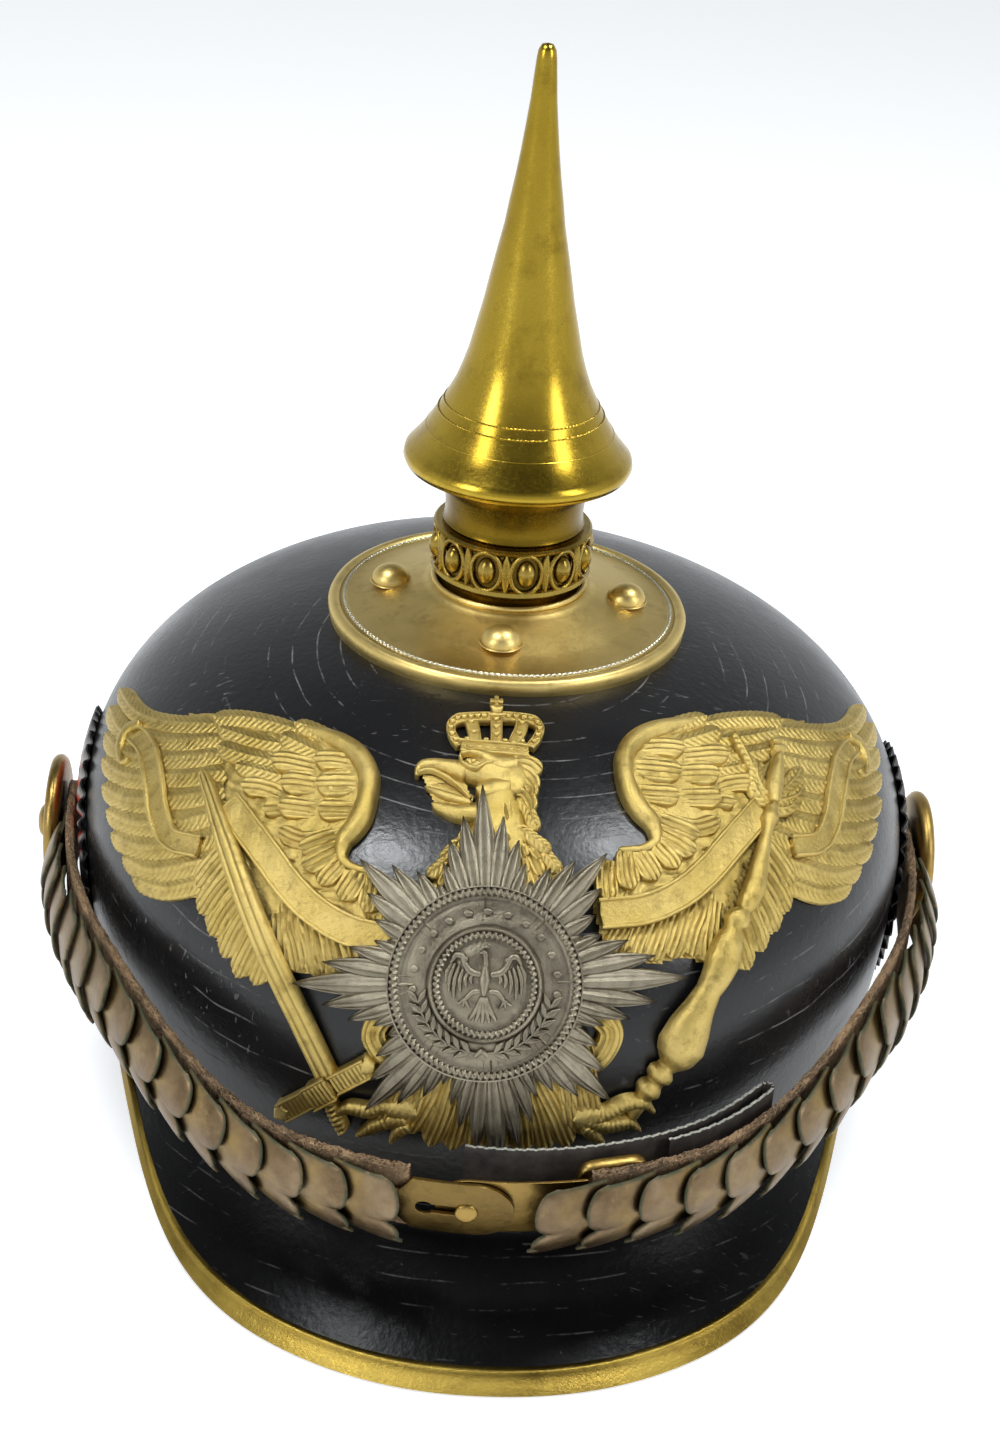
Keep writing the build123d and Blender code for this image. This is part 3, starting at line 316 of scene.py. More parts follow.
def boss(side, rise, wide, tall, height, low=0.3, place=as_is, turn=0.0):
    """Rounded boss"""
    dx, dy = math.cos(math.radians(turn)), math.sin(math.radians(turn))
    path = [(side - dx * wide, rise - dy * wide), (side, rise), (side + dx * wide, rise + dy * wide)]
    return swell(path, tall, height, low=low, ends=(wide, wide), place=place, rows=min(0.4, wide / 4))


def backing(outline, lift, place=as_is, spacing=0.7, carve=None):
    """Sheet under the relief, cut to an outline; carve gives its own fine relief"""
    outline = np.array(outline, float)
    low, high = outline.min(0), outline.max(0)
    cells = np.ceil((high - low) / spacing).astype(int)
    put_down()
    bpy.ops.mesh.primitive_grid_add(x_subdivisions=int(cells[0]), y_subdivisions=int(cells[1]), size=2)
    sheet = bpy.context.object
    flat = (points(sheet)[:, :2] + 1) / 2 * (high - low) + low
    inside = np.zeros(len(flat), bool)
    for (x0, y0), (x1, y1) in zip(outline, np.roll(outline, -1, axis=0)):
        crosses = (y0 > flat[:, 1]) != (y1 > flat[:, 1])
        reach = (x1 - x0) * (flat[:, 1] - y0) / (y1 - y0 + 1e-12) + x0
        inside ^= crosses & (flat[:, 0] < reach)
    side, rise = place(flat[:, 0], flat[:, 1])
    lifted = np.full(len(side), lift) + (carve(flat[:, 0], flat[:, 1]) if carve else 0)
    set_points(sheet, seat(side, rise, lifted) * MM)
    sheet.data.polygons.foreach_set("select", np.zeros(len(sheet.data.polygons), bool))
    sheet.data.edges.foreach_set("select", np.zeros(len(sheet.data.edges), bool))
    sheet.data.vertices.foreach_set("select", ~inside)
    take(sheet)
    bpy.ops.object.mode_set(mode="EDIT")
    bpy.ops.mesh.delete(type="VERT")
    bpy.ops.object.mode_set(mode="OBJECT")
    if place is other_wing:
        sheet.data.flip_normals()
    return sheet


# Finishes
class Finish:
    """Small helper that lays out one material's nodes"""

    def __init__(self, name):
        self.material = bpy.data.materials.new(name)
        self.material.use_nodes = True
        self.tree = self.material.node_tree
        self.shader = self.tree.nodes["Principled BSDF"]
        self.where = self.node("ShaderNodeTexCoord").outputs["Object"]

    def node(self, kind, **settings):
        made = self.tree.nodes.new(kind)
        for key, value in settings.items():
            setattr(made, key, value)
        return made

    def link(self, source, target):
        self.tree.links.new(source, target)

    def pattern(self, kind, values, source=None, **settings):
        """Texture or mapping node, read at the piece's own place unless a source is given"""
        made = self.node(kind, **settings)
        for key, value in values.items():
            made.inputs[key].default_value = value
        self.link(source or self.where, made.inputs["Vector"])
        return made

    def stretched(self, scale=(1, 1, 1), turn=(0, 0, 0), shift=(0, 0, 0)):
        values = {"Scale": scale, "Rotation": turn, "Location": shift}
        return self.pattern("ShaderNodeMapping", values).outputs["Vector"]

    def noise(self, scale, detail=6, roughness=0.6, distortion=0.0, source=None):
        values = {"Scale": scale, "Detail": detail, "Roughness": roughness, "Distortion": distortion}
        return self.pattern("ShaderNodeTexNoise", values, source).outputs["Fac"]

    def split(self, source):
        made = self.node("ShaderNodeSeparateXYZ")
        self.link(source, made.inputs[0])
        return made.outputs

    def length(self, source):
        made = self.node("ShaderNodeVectorMath", operation="LENGTH")
        self.link(source, made.inputs[0])
        return made.outputs["Value"]

    def steps(self, source, *stops):
        ramp = self.node("ShaderNodeValToRGB")
        band = ramp.color_ramp
        while len(band.elements) < len(stops):
            band.elements.new(0.5)
        for element, (place, colour) in zip(band.elements, stops):
            element.position = place
            element.color = (*colour, 1)
        self.link(source, ramp.inputs["Fac"])
        return ramp.outputs["Color"]

    def grey(self, source, low, high, dark, light):
        return self.steps(source, (low, (dark,) * 3), (high, (light,) * 3))

    def give(self, socket, value):
        """Set a socket to a number or a colour, or link it"""
        if isinstance(value, (int, float)):
            socket.default_value = value
        elif isinstance(value, tuple):
            socket.default_value = (*value, 1)
        else:
            self.link(value, socket)

    def mix(self, factor, first, second):
        made = self.node("ShaderNodeMix", data_type="RGBA")
        for index, value in ((0, factor), (6, first), (7, second)):
            self.give(made.inputs[index], value)
        return made.outputs[2]

    def math(self, kind, first, second):
        made = self.node("ShaderNodeMath", operation=kind)
        for index, value in enumerate((first, second)):
            self.give(made.inputs[index], value)
        return made.outputs[0]

    def times(self, first, second):
        return self.math("MULTIPLY", first, second)

    def edges(self):
        return self.node("ShaderNodeNewGeometry").outputs["Pointiness"]

    def bump(self, source, strength, distance, under=None):
        made = self.node("ShaderNodeBump")
        made.inputs["Strength"].default_value = strength
        made.inputs["Distance"].default_value = distance
        self.link(source, made.inputs["Height"])
        if under is not None:
            self.link(under, made.inputs["Normal"])
        return made.outputs["Normal"]

    def set(self, **sockets):
        names = {"colour": "Base Color", "rough": "Roughness", "metal": "Metallic", "normal": "Normal",
                 "specular": "Specular IOR Level", "sheen": "Sheen Weight"}
        for key, value in sockets.items():
            self.give(self.shader.inputs[names[key]], value)
        return self.material


def metal_finish(name, bright, base, dark, rough=(0.25, 0.45), grain=900, bump=0.15, crevice_shade=(0.44, 0.5),
                 blotch=35, streak=(1, 1, 1)):
    """Aged metal with blotches and a fine grain: painted shade darkens its hollows, and its convex edges are
    lighter
    """
    made = Finish(name)
    spread = made.stretched(streak)
    cloud = made.noise(blotch, 8, 0.65, source=spread)
    fine = made.noise(grain, 4, 0.7)
    tone = made.mix(made.grey(cloud, 0.35, 0.7, 0, 1), base, bright)
    tone = made.mix(made.grey(made.noise(blotch * 5, 6, 0.7), 0.52, 0.72, 0, 0.5), tone, dark)
    # painted shade: hollows, found by pointiness, take the dark colour
    painted_hollow_shade = made.grey(made.edges(), crevice_shade[0], crevice_shade[1], 1, 0)
    tone = made.mix(painted_hollow_shade, tone, dark)
    # convex edges, found by pointiness, take the bright colour
    edge_lightening = made.grey(made.edges(), 0.52, 0.6, 0, 0.55)
    tone = made.mix(edge_lightening, tone, bright)
    wear = made.math("ADD", made.grey(cloud, 0.3, 0.75, rough[0], rough[1]),
                     made.times(made.grey(fine, 0.4, 0.7, 0, 1), 0.08))
    normal = made.bump(fine, bump, 0.0004)
    return made.set(colour=tone, rough=wear, metal=1.0, normal=normal)


# The crevice settings give how much painted shade fills each metal's hollows
gilt = metal_finish("gilt_relief", (0.67, 0.52, 0.19), (0.46, 0.335, 0.09), (0.11, 0.06, 0.01),
                    rough=(0.34, 0.5), grain=1700, bump=0.45, crevice_shade=(0.43, 0.498), blotch=60)
olive = metal_finish("olive_brass", (0.5, 0.35, 0.045), (0.36, 0.24, 0.022), (0.16, 0.09, 0.01),
                     rough=(0.15, 0.27), grain=1400, bump=0.06, blotch=25, streak=(1.5, 1.5, 0.5))
# painted light: a lighter copy of the olive brass for the base plate and its studs
lit_plate_brass = metal_finish("lit_plate_brass", (0.8, 0.62, 0.24), (0.62, 0.46, 0.15), (0.25, 0.16, 0.04),
                           rough=(0.32, 0.44), grain=1400, bump=0.08, blotch=30)
# painted shade: a darker copy of the olive brass for the neck under the spike's flange
shaded_neck_brass = metal_finish("shaded_neck_brass", (0.2, 0.125, 0.012), (0.13, 0.078, 0.007), (0.06, 0.034, 0.004),
                          rough=(0.15, 0.27), grain=1400, bump=0.06, blotch=25)
pearl_brass = metal_finish("pearl_brass", (0.38, 0.27, 0.06), (0.25, 0.17, 0.03), (0.06, 0.035, 0.006),
                           rough=(0.18, 0.3), grain=1400, bump=0.1, blotch=40)
pewter = metal_finish("grey_silver", (0.38, 0.34, 0.255), (0.18, 0.157, 0.113), (0.022, 0.018, 0.013),
                      rough=(0.3, 0.5), grain=1600, bump=0.35, crevice_shade=(0.43, 0.5), blotch=70)
trim_brass = metal_finish("trim_brass", (0.36, 0.26, 0.055), (0.24, 0.16, 0.03), (0.11, 0.065, 0.015),
                          rough=(0.25, 0.5), grain=1200, bump=0.25, blotch=40)
copper_brass = metal_finish("copper_brass", (0.42, 0.28, 0.08), (0.25, 0.165, 0.05), (0.1, 0.065, 0.025),
                            rough=(0.24, 0.42), grain=1000, bump=0.2, blotch=55)
# painted shade: a darker copy of the copper brass for the keyhole plate, shaded under its lip
shaded_key_brass = metal_finish("shaded_key_brass", (0.25, 0.165, 0.05), (0.15, 0.1, 0.033), (0.06, 0.04, 0.016),
                         rough=(0.24, 0.4), grain=1000, bump=0.2, blotch=55)
steel = metal_finish("worn_steel", (0.42, 0.41, 0.4), (0.25, 0.24, 0.23), (0.1, 0.07, 0.05), rough=(0.3, 0.5))


def lacquer_finish(name, shine, scratches, gloss, black):
    """Black lacquer over leather, with arcs of fine scratches and dull specks"""
    made = Finish(name)
    ink = (black, black, black * 1.1)
    values = {"Scale": 62, "Distortion": 1.6, "Detail": 1.5, "Detail Scale": 0.7}
    arcs = made.pattern("ShaderNodeTexWave", values, made.stretched(shift=(0.0, 0.02, -0.14)),
                        wave_type="RINGS", rings_direction="SPHERICAL")
    lines = made.grey(arcs.outputs["Fac"], 0.985, 0.999, 0, 1)
    broken = made.grey(made.noise(38, 5, 0.75), 0.5, 0.6, 0, 1)
    cuts = made.times(lines, broken)
    strands = made.noise(200, 1, 0.5, 0.6, made.stretched((1, 7, 2), (0.3, 0.5, 0.9)))
    hairs = made.times(made.grey(strands, 0.7, 0.72, 0, 0.8), made.grey(made.noise(22), 0.5, 0.62, 0, 1))
    marks = made.times(made.math("ADD", cuts, hairs), scratches)
    specks = made.grey(made.noise(900, 2, 0.5), 0.73, 0.78, 0, 0.35)
    tone = made.mix(marks, ink, (0.15, 0.148, 0.145))
    tone = made.mix(specks, tone, (0.12, 0.115, 0.11))
    rough = made.math("ADD", made.grey(made.noise(30, 8, 0.7), 0.3, 0.75, shine, shine + 0.16),
                      made.times(marks, 0.3))
    pores = made.noise(620, 3, 0.55)
    swells = made.bump(made.noise(16, 2, 0.5), 0.14, 0.004)
    normal = made.bump(pores, 0.13, 0.0006, swells)
    return made.set(colour=tone, rough=rough, normal=normal, specular=gloss)


shell_lacquer = lacquer_finish("shell_lacquer", 0.22, 1.0, 0.36, 0.008)
peak_lacquer = lacquer_finish("peak_lacquer", 0.2, 0.4, 0.09, 0.004)


def leather_finish(name, light, base, dark, scale=300, strength=0.6):
    made = Finish(name)
    cloud = made.noise(90, 8, 0.7)
    cells = made.pattern("ShaderNodeTexVoronoi", {"Scale": scale * 2}, feature="DISTANCE_TO_EDGE")
    tone = made.steps(cloud, (0.3, dark), (0.5, base), (0.72, light))
    fuzz = made.noise(scale * 5, 6, 0.8)
    tone = made.mix(made.grey(fuzz, 0.5, 0.7, 0, 0.7), tone, light)
    normal = made.bump(fuzz, strength, 0.0006, made.bump(cells.outputs["Distance"], strength * 0.6, 0.0008))
    return made.set(colour=tone, rough=made.grey(cloud, 0.3, 0.7, 0.62, 0.9), normal=normal)


raw_leather = leather_finish("strap_leather", (0.66, 0.44, 0.25), (0.36, 0.235, 0.13), (0.08, 0.055, 0.035),
                             260, 1.0)
lining_leather = leather_finish("lining_leather", (0.3, 0.11, 0.07), (0.19, 0.06, 0.04), (0.09, 0.03, 0.02),
                                350, 0.4)
sweat_leather = leather_finish("sweat_leather", (0.5, 0.32, 0.17), (0.36, 0.21, 0.1), (0.17, 0.09, 0.05),
                               320, 0.5)


def cloth_finish(name, light, dark):
    made = Finish(name)
    threads = []
    for turn in ((0, 0, 0), (0, 0, math.pi / 2)):
        wave = made.pattern("ShaderNodeTexWave", {"Scale": 420, "Distortion": 0.6}, made.stretched(turn=turn),
                            bands_direction="X")
        threads.append(wave.outputs["Fac"])
    weave = made.times(*threads)
    tone = made.mix(made.grey(made.noise(40, 6), 0.35, 0.7, 0, 1), dark, light)
    tone = made.mix(made.grey(weave, 0.0, 0.5, 0.5, 0), tone, dark)
    return made.set(colour=tone, rough=0.92, normal=made.bump(weave, 0.5, 0.0004), sheen=0.2)


lining_cloth = cloth_finish("lining_cloth", (0.5, 0.42, 0.32), (0.3, 0.24, 0.17))


def scale_finish():
    """Pinkish tan scale metal: green along its edges, by the piece's own UV map"""
    made = Finish("scale_metal")
    own = made.split(made.node("ShaderNodeUVMap", uv_map="UVMap").outputs["UV"])
    end = own["X"]
    across = made.math("ABSOLUTE", made.math("SUBTRACT", own["Y"], 0.5), 0)
    rim = made.math("MAXIMUM", made.grey(across, 0.465, 0.495, 0, 1), made.grey(end, 0.95, 0.985, 0, 1))
    ragged = made.times(rim, made.grey(made.noise(420, 6, 0.7), 0.35, 0.55, 0.25, 1))
    cloud = made.noise(70, 8, 0.7)
    tone = made.steps(cloud, (0.32, (0.11, 0.072, 0.038)), (0.52, (0.2, 0.14, 0.08)),
                      (0.75, (0.32, 0.245, 0.155)))
    glow = made.times(made.grey(end, 0.45, 0.8, 0.6, 0), made.grey(made.noise(110, 5), 0.4, 0.6, 0.1, 0.9))
    tone = made.mix(glow, tone, (0.3, 0.2, 0.055))
    tarnish = made.grey(made.noise(190, 6, 0.7), 0.55, 0.72, 0, 0.6)
    tone = made.mix(tarnish, tone, (0.3, 0.22, 0.1))
    tone = made.mix(ragged, tone, (0.05, 0.06, 0.03))
    rough = made.math("ADD", made.grey(cloud, 0.3, 0.7, 0.3, 0.45), made.times(ragged, 0.3))
    metal = made.grey(ragged, 0, 1, 1, 0.35)
    return made.set(colour=tone, rough=rough, metal=metal, normal=made.bump(made.noise(800, 4), 0.2, 0.0004))


scale_metal = scale_finish()


def cockade_finish(name, rings):
    """Painted pleated metal: rings are (radius in metres, colour) from the middle out"""
    made = Finish(name)
    own = made.split(made.where)
    flat = made.node("ShaderNodeCombineXYZ")
    made.link(own["Y"], flat.inputs["Y"])
    made.link(made.math("SUBTRACT", own["Z"], PIVOT * MM), flat.inputs["Z"])
    radius = made.length(flat.outputs[0])
    tone = rings[0][1]
    for reach, colour in rings[1:]:
        tone = made.mix(made.grey(radius, reach - 0.0002, reach + 0.0002, 0, 1), tone, colour)
    chips = made.grey(made.noise(300, 6, 0.7), 0.62, 0.68, 0, 0.7)
    tone = made.mix(chips, tone, (0.05, 0.045, 0.04))
    return made.set(colour=tone, rough=made.grey(made.noise(120), 0.3, 0.7, 0.3, 0.5), specular=0.5,
                    normal=made.bump(made.noise(500), 0.2, 0.0004))


black, white, red, silver = (0.012, 0.012, 0.013), (0.75, 0.73, 0.7), (0.62, 0.07, 0.04), (0.55, 0.54, 0.52)
cockade_left_paint = cockade_finish("cockade_left_paint", [(0, black), (0.013, red), (0.0205, white),
                                                           (0.0235, black)])
cockade_right_paint = cockade_finish("cockade_right_paint", [(0, black), (0.0185, silver), (0.0225, black)])


# Turned pieces
def ring_stack(name, rings, steps=96):
    """Circle primitive pushed up ring by ring: each ring is (half width, half length, height)"""
    put_down()
    first = rings[0]
    bpy.ops.mesh.primitive_circle_add(vertices=steps, radius=MM, location=(0, 0, 0))
    piece = bpy.context.object
    bpy.ops.object.mode_set(mode="EDIT")
    bpy.ops.mesh.select_all(action="SELECT")
    bpy.ops.transform.resize(value=(first[0], first[1], 1), center_override=(0, 0, 0))
    bpy.ops.transform.translate(value=(0, 0, first[2] * MM))
    for last, ring in zip(rings, rings[1:]):
        bpy.ops.mesh.extrude_region_move(TRANSFORM_OT_translate={"value": (0, 0, (ring[2] - last[2]) * MM)})
        bpy.ops.transform.resize(
            value=(ring[0] / last[0], ring[1] / last[1], 1), center_override=(0, 0, ring[2] * MM)
        )
    bpy.ops.object.mode_set(mode="OBJECT")
    merged(piece)
    piece.name = name
    piece.data.name = name
    return piece


def turned(name, profile, steps=96):
    return ring_stack(name, [(max(r, 0.004), max(r, 0.004), z) for r, z in profile], steps)


def dome_rings(off):
    rings = []
    for fall in np.linspace(1, 0, 8)[:-1]:
        height = EDGE + (WIDEST - EDGE) * (1 - fall)
        size = float(share(height))
        rings.append((HALF_WIDTH * size + off, HALF_LENGTH * size + off, height))
    for turn in np.linspace(0, 88, 34):
        out, up = math.cos(math.radians(turn)), math.sin(math.radians(turn))
        size, rise = out ** (2 / ROUNDING), up ** (2 / ROUNDING)
        spot = np.array([[HALF_WIDTH * size, 0.0, WIDEST + (TOP - WIDEST) * rise]])
        nx, _, nz = outward(spot)[0]
        rings.append((HALF_WIDTH * size + off * nx, HALF_LENGTH * size + off * nx, spot[0, 2] + off * nz))
    rings = [ring for ring in rings if ring[0] > CROWN_HOLE]
    rings.append((CROWN_HOLE, CROWN_HOLE * rings[-1][1] / rings[-1][0], rings[-1][2] + 0.2))
    return rings


def shell_piece():
    outside, inside = dome_rings(0), dome_rings(-SHELL_WALL)
    ends = (inside[0], 0.6), (outside[0], -0.6)
    foot = [(ring[0] + ease, ring[1] + ease, EDGE - 0.2) for ring, ease in ends]
    return ring_stack("shell_body", foot + outside + inside[::-1] + foot[:1], 192)


finished(smooth(shell_piece(), 30), "shell_body", shell_lacquer, "lacquer", "shell")

spike_widths = [(25.0, 148.3), (25.5, 149.6), (25.2, 150.9), (24.4, 151.8), (22.6, 153.9), (21.3, 155.7),
                (20.2, 157.5), (19.2, 159.1), (18.2, 160.7), (17.3, 162.2), (16.4, 164.0), (14.9, 167.0),
                (13.5, 170.8), (12.4, 174.4), (11.1, 180.1), (9.8, 185.7), (8.75, 191.3), (7.65, 196.8),
                (6.5, 202.3), (5.7, 207.7), (4.8, 213.0), (4.05, 218.3), (3.4, 223.6), (2.8, 228.8),
                (2.4, 233.9), (2.1, 237.4), (1.85, 239.0), (1.2, 240.1), (0.01, 240.4)]
spike_foot = [(0.01, 146.6), (17.0, 146.6), (19.0, 147.9), (24.0, 147.7)]
spike = smooth(turned("spike_body", spike_foot + spike_widths, 128), 50)


def rope_ring(radius, height, thick, twists, steps=360):
    """Twisted rope round the upright axis"""

    def form(s, t):
        turn = s * 2 * np.pi
        around = (t + 1) * np.pi
        bead = thick * (1 + 0.28 * np.sin(twists * turn + around))
        reach = radius + bead * np.cos(around)
        return np.c_[reach * np.cos(turn), reach * np.sin(turn), height + bead * np.sin(around)]

    return merged(grid(steps, 8, form))


engraved = [
    rope_ring(18.3, 160.6, 0.2, 130, 600),
    rope_ring(17.1, 162.6, 0.2, 120, 600),
    rope_ring(20.8, 156.5, 0.1, 1, 128),
]
finished(joined("spike_body", [spike] + engraved), "spike_body", olive, "olive_brass", "spike", body="spike")

neck_profile = [(15.5, 114.0), (17.2, 118.6), (16.3, 119.6), (15.9, 120.8), (16.2, 121.8), (15.6, 122.4),
                (15.55, 134.4), (16.0, 134.9), (15.7, 135.6), (15.5, 137.0), (15.6, 139.0), (15.9, 142.0),
                (16.4, 144.6), (17.3, 145.9), (17.2, 146.4), (9.2, 146.4), (9.2, 133.0), (14.0, 132.6),
                (14.0, 114.0), (15.5, 114.0)]
neck = smooth(turned("neck_body", neck_profile), 45)
finished(neck, "neck_body", shaded_neck_brass, "olive_brass", "spike_neck")

base_profile = [(16.0, 114.4), (17.0, 119.4), (18.0, 119.6), (18.9, 119.0), (20.2, 118.5), (24.0, 117.4),
                (30.0, 115.8), (36.6, 114.0), (37.0, 114.15), (37.4, 113.9), (38.3, 113.7), (38.6, 114.0),
                (39.6, 114.35), (40.6, 113.9), (41.0, 113.0), (40.8, 111.4), (40.5, 109.6), (38.9, 109.6),
                (38.4, 112.2), (30.0, 113.2), (20.0, 113.6), (16.0, 113.6), (16.0, 114.4)]
base = smooth(turned("base_plate", base_profile, 144), 50)
base_rope = rope_ring(37.3, 114.05, 0.34, 190, 760)
base = joined("base_plate", [base, rope_ring(17.3, 120.0, 0.6, 1, 96)])
pale_rope = metal_finish("pale_rope", (0.75, 0.74, 0.6), (0.5, 0.48, 0.36), (0.2, 0.17, 0.08))
finished(base_rope, "base_rope", pale_rope, "olive_brass")
finished(base, "base_plate", lit_plate_brass, "olive_brass", "spike_base")


def dome_head(name, radius, height, leg=2.0):
    """Domed stud head on a short leg"""
    flat = 0.35
    rings = [(1.3, -leg), (1.35, -0.02), (radius * 0.97, 0), (radius, flat * 0.4), (radius * 0.97, flat)]
    for turn in range(0, 89, 8):
        rings.append((radius * 0.94 * math.cos(math.radians(turn)),
                      flat + (height - flat) * math.sin(math.radians(turn))))
    rings.append((0.01, height))
    return smooth(turned(name, rings, 40), 50)


STUD_RING, STUD_FOOT, FIRST_STUD = 26.9, 116.5, -95
turns = [math.radians(FIRST_STUD + 90 * quarter) for quarter in range(4)]
spots = [Vector((STUD_RING * math.cos(turn), STUD_RING * math.sin(turn), STUD_FOOT)) for turn in turns]
stud_heads = repeated(dome_head("base_stud", 4.8, 4.1), [Matrix.Translation(spot * MM) for spot in spots])
finished(joined("base_stud_heads", stud_heads), "base_stud_heads", lit_plate_brass, "olive_brass", "base_studs")


def pearl_band():
    """Ring of oval pearls in raised frames between two beads"""
    rings = [(15.65, 122.7), (17.5, 122.7), (18.1, 123.3), (17.9, 124.2), (16.9, 124.7), (16.8, 132.4),
             (17.6, 133.0), (17.9, 133.7), (17.4, 134.2), (15.65, 134.2), (15.65, 122.7)]
    parts = [smooth(turned("pearl_ring_body", rings, 120), 40)]

    middle, count = 128.6, 12

    def pearl(s, t):
        a, b = s * 2 * np.pi, (t + 1) / 4 * np.pi
        return np.c_[2.15 * np.sin(b) * np.cos(a), -16.6 - 2.3 * np.cos(b),
                     middle + 3.3 * np.sin(b) * np.sin(a)]

    def oval(s, t):
        a, b = s * 2 * np.pi, t * np.pi
        side, rise = (3.55 + 0.55 * np.cos(b)) * np.cos(a), (4.55 + 0.55 * np.cos(b)) * np.sin(a)
        return np.c_[side, -(17.35 - side**2 / 36 + 0.55 * np.sin(b)), middle + rise]

    def leaf(s, t):
        wide = 1.25 * np.sin(np.pi * s) ** 0.8 + 0.2
        return np.c_[wide * t, -(16.7 + 1.25 * np.sqrt(1 - np.abs(t) ** 2 * 0.98)), middle - 4.7 + 9.4 * s]

    for along, across, form, first in ((24, 8, pearl, 9), (32, 8, oval, 9), (12, 6, leaf, 24)):
        turns = [math.radians(360 / count * index + first) for index in range(count)]
        parts += repeated(merged(grid(along, across, form)), [Matrix.Rotation(turn, 4,
                                                                              "Z") for turn in turns])
    return smooth(joined("pearl_band", parts), 50)


finished(pearl_band(), "pearl_band", pearl_brass, "olive_brass", "pearl_ring")


# Peaks and trim
LAP, WAIST, BEND, SEWN_LAP = 27.0, 22.6, 18.0, 1.65
REACH, RIM_WIDE, FLAT = 134.0, 94.8, 122.0
FRONT_END, REAR_END, PEAK_WALL, TRIM_WALL = 43.0, 34.0, 2.2, 0.7


def peak_rows(sink):
    """Rings down a peak, as in the solids, sunk square to its surface"""
    rows = []
    for height, more in ((LAP, 1.0), (WAIST, 1.0), (BEND, 1.5)):
        size = float(share(height))
        rows.append((HALF_WIDTH * size + SEWN_LAP, HALF_LENGTH * size + SEWN_LAP * more, height))
    wide, reach, _ = rows[2]
    for fall, out in ((0.38, 0.27), (0.7, 0.61), (1.0, 1.0), (1.16, 1.19)):
        rows.append((wide + (RIM_WIDE - wide) * out, reach + (REACH - reach) * out, BEND * (1 - fall)))
    sunk = []
    for index, (w, r, z) in enumerate(rows):
        above, below = rows[max(index - 1, 0)], rows[min(index + 1, len(rows) - 1)]
        slope = np.array([below[1] - above[1], below[2] - above[2]])
        slope = slope / np.linalg.norm(slope)
        sunk.append((w + sink * slope[1], r + sink * slope[1], z - sink * slope[0]))
    return np.array(sunk)


def peak_spots(turn, fall, sink, facing):
    """Points of a peak: turn in radians from the middle, fall from 0 at the lap to 6 past the rim"""
    rows = peak_rows(sink)
    leg = np.clip(fall.astype(int), 0, len(rows) - 2)
    row, _ = curve(rows, leg, (fall - leg)[:, None])
    power = 2 + 0.15 * (BEND - np.minimum(row[:, 2], BEND)) / BEND
    side = np.sign(np.sin(turn)) * np.abs(np.sin(turn)) ** (2 / power) * row[:, 0]
    ahead = np.abs(np.cos(turn)) ** (2 / power) * row[:, 1]
    return np.c_[side, facing * ahead, row[:, 2]]


def rim_fall(turn, end, sink, facing, lift=0.0):
    """How far down a peak its rim lies, seen from the side"""
    near, far = np.zeros_like(turn), np.full_like(turn, 5.98)
    for _ in range(30):
        middle = (near + far) / 2
        spot = peak_spots(turn, middle, sink, facing)
        part = np.clip((FLAT - np.abs(spot[:, 1])) / (FLAT - end), 0, 1)
        above = spot[:, 2] > BEND * part**2 + lift
        near, far = np.where(above, middle, near), np.where(above, far, middle)
    return near


def end_turn(end, facing):
    """Turn at which the peak's lap meets its side end"""
    near, far = 0.5, math.pi / 2
    for _ in range(30):
        middle = (near + far) / 2
        spot = peak_spots(np.array([middle]), np.array([0.0]), 0, facing)
        near, far = (middle, far) if abs(spot[0, 1]) > end else (near, middle)
    return near


def peak_wall(facing, end, lift):
    """Peak as a wall: outside down to the rim, round it and up the inside"""
    limit = end_turn(end, facing)

    def form(s, t):
        turn = t * limit
        spots = np.empty((len(s), 3))
        for level, pick in ((0, s < 0.5), (PEAK_WALL, s >= 0.5)):
            down = np.where(s < 0.5, s / 0.494, (1 - s) * 2)[pick]
            bottom = rim_fall(turn[pick], end, level, facing, lift)
            spots[pick] = peak_spots(turn[pick], np.clip(down, 0, 1) * bottom, level, facing)
        crease = np.exp(-(((spots[:, 2] - 16.4) / 0.9) ** 2)) * 0.4 * (s < 0.5)
        spots[:, 1] -= facing * crease
        return spots

    return smooth(outside_out(grid(81, 170, form)), 50)


finished(peak_wall(-1, FRONT_END, TRIM_WALL), "front_peak_skin", peak_lacquer, "peak_lacquer", "front_peak")
finished(peak_wall(1, REAR_END, 0.0), "rear_peak_skin", peak_lacquer, "peak_lacquer", "rear_peak")


def trim_piece():
    """Brass edge wrapped round the front peak's rim, with a fine bead along its upper edge"""
    limit, step = end_turn(FRONT_END, -1), 0.25
    shape = [(5.4, 0.05), (5.5, -0.5), (5.3, -0.95), (4.9, -1.0), (4.5, -0.75), (3.6, -0.72), (2.4, -0.72),
             (1.2, -0.75), (0.4, -0.6), (0.0, 0.1), (0.0, 1.2), (0.1, 2.4), (0.6, 2.85), (1.8, 2.9),
             (3.0, 2.9), (3.2, 2.3)]

    def form(s, t):
        turn = t * limit
        up, sink = walk(shape, np.arange(len(shape)), s * (len(shape) - 1)).T
        spots = np.empty((len(s), 3))
        for level in np.unique(sink):
            pick = sink == level
            bottom = rim_fall(turn[pick], FRONT_END, level, -1)
            below = peak_spots(turn[pick], bottom, level, -1)
            above = peak_spots(turn[pick], np.maximum(bottom - step, 0), level, -1)
            span = np.linalg.norm(above - below, axis=1)
            spots[pick] = peak_spots(turn[pick], np.maximum(bottom - step * up[pick] / span, 0), level, -1)
        spots[:, 2] = np.maximum(spots[:, 2], 0.0)
        return spots

    return smooth(outside_out(grid(len(shape), 200, form)), 60)


finished(trim_piece(), "front_trim_edge", trim_brass, "trim_brass", "front_trim")


STITCH, STITCH_LONG = 2.9, 1.9


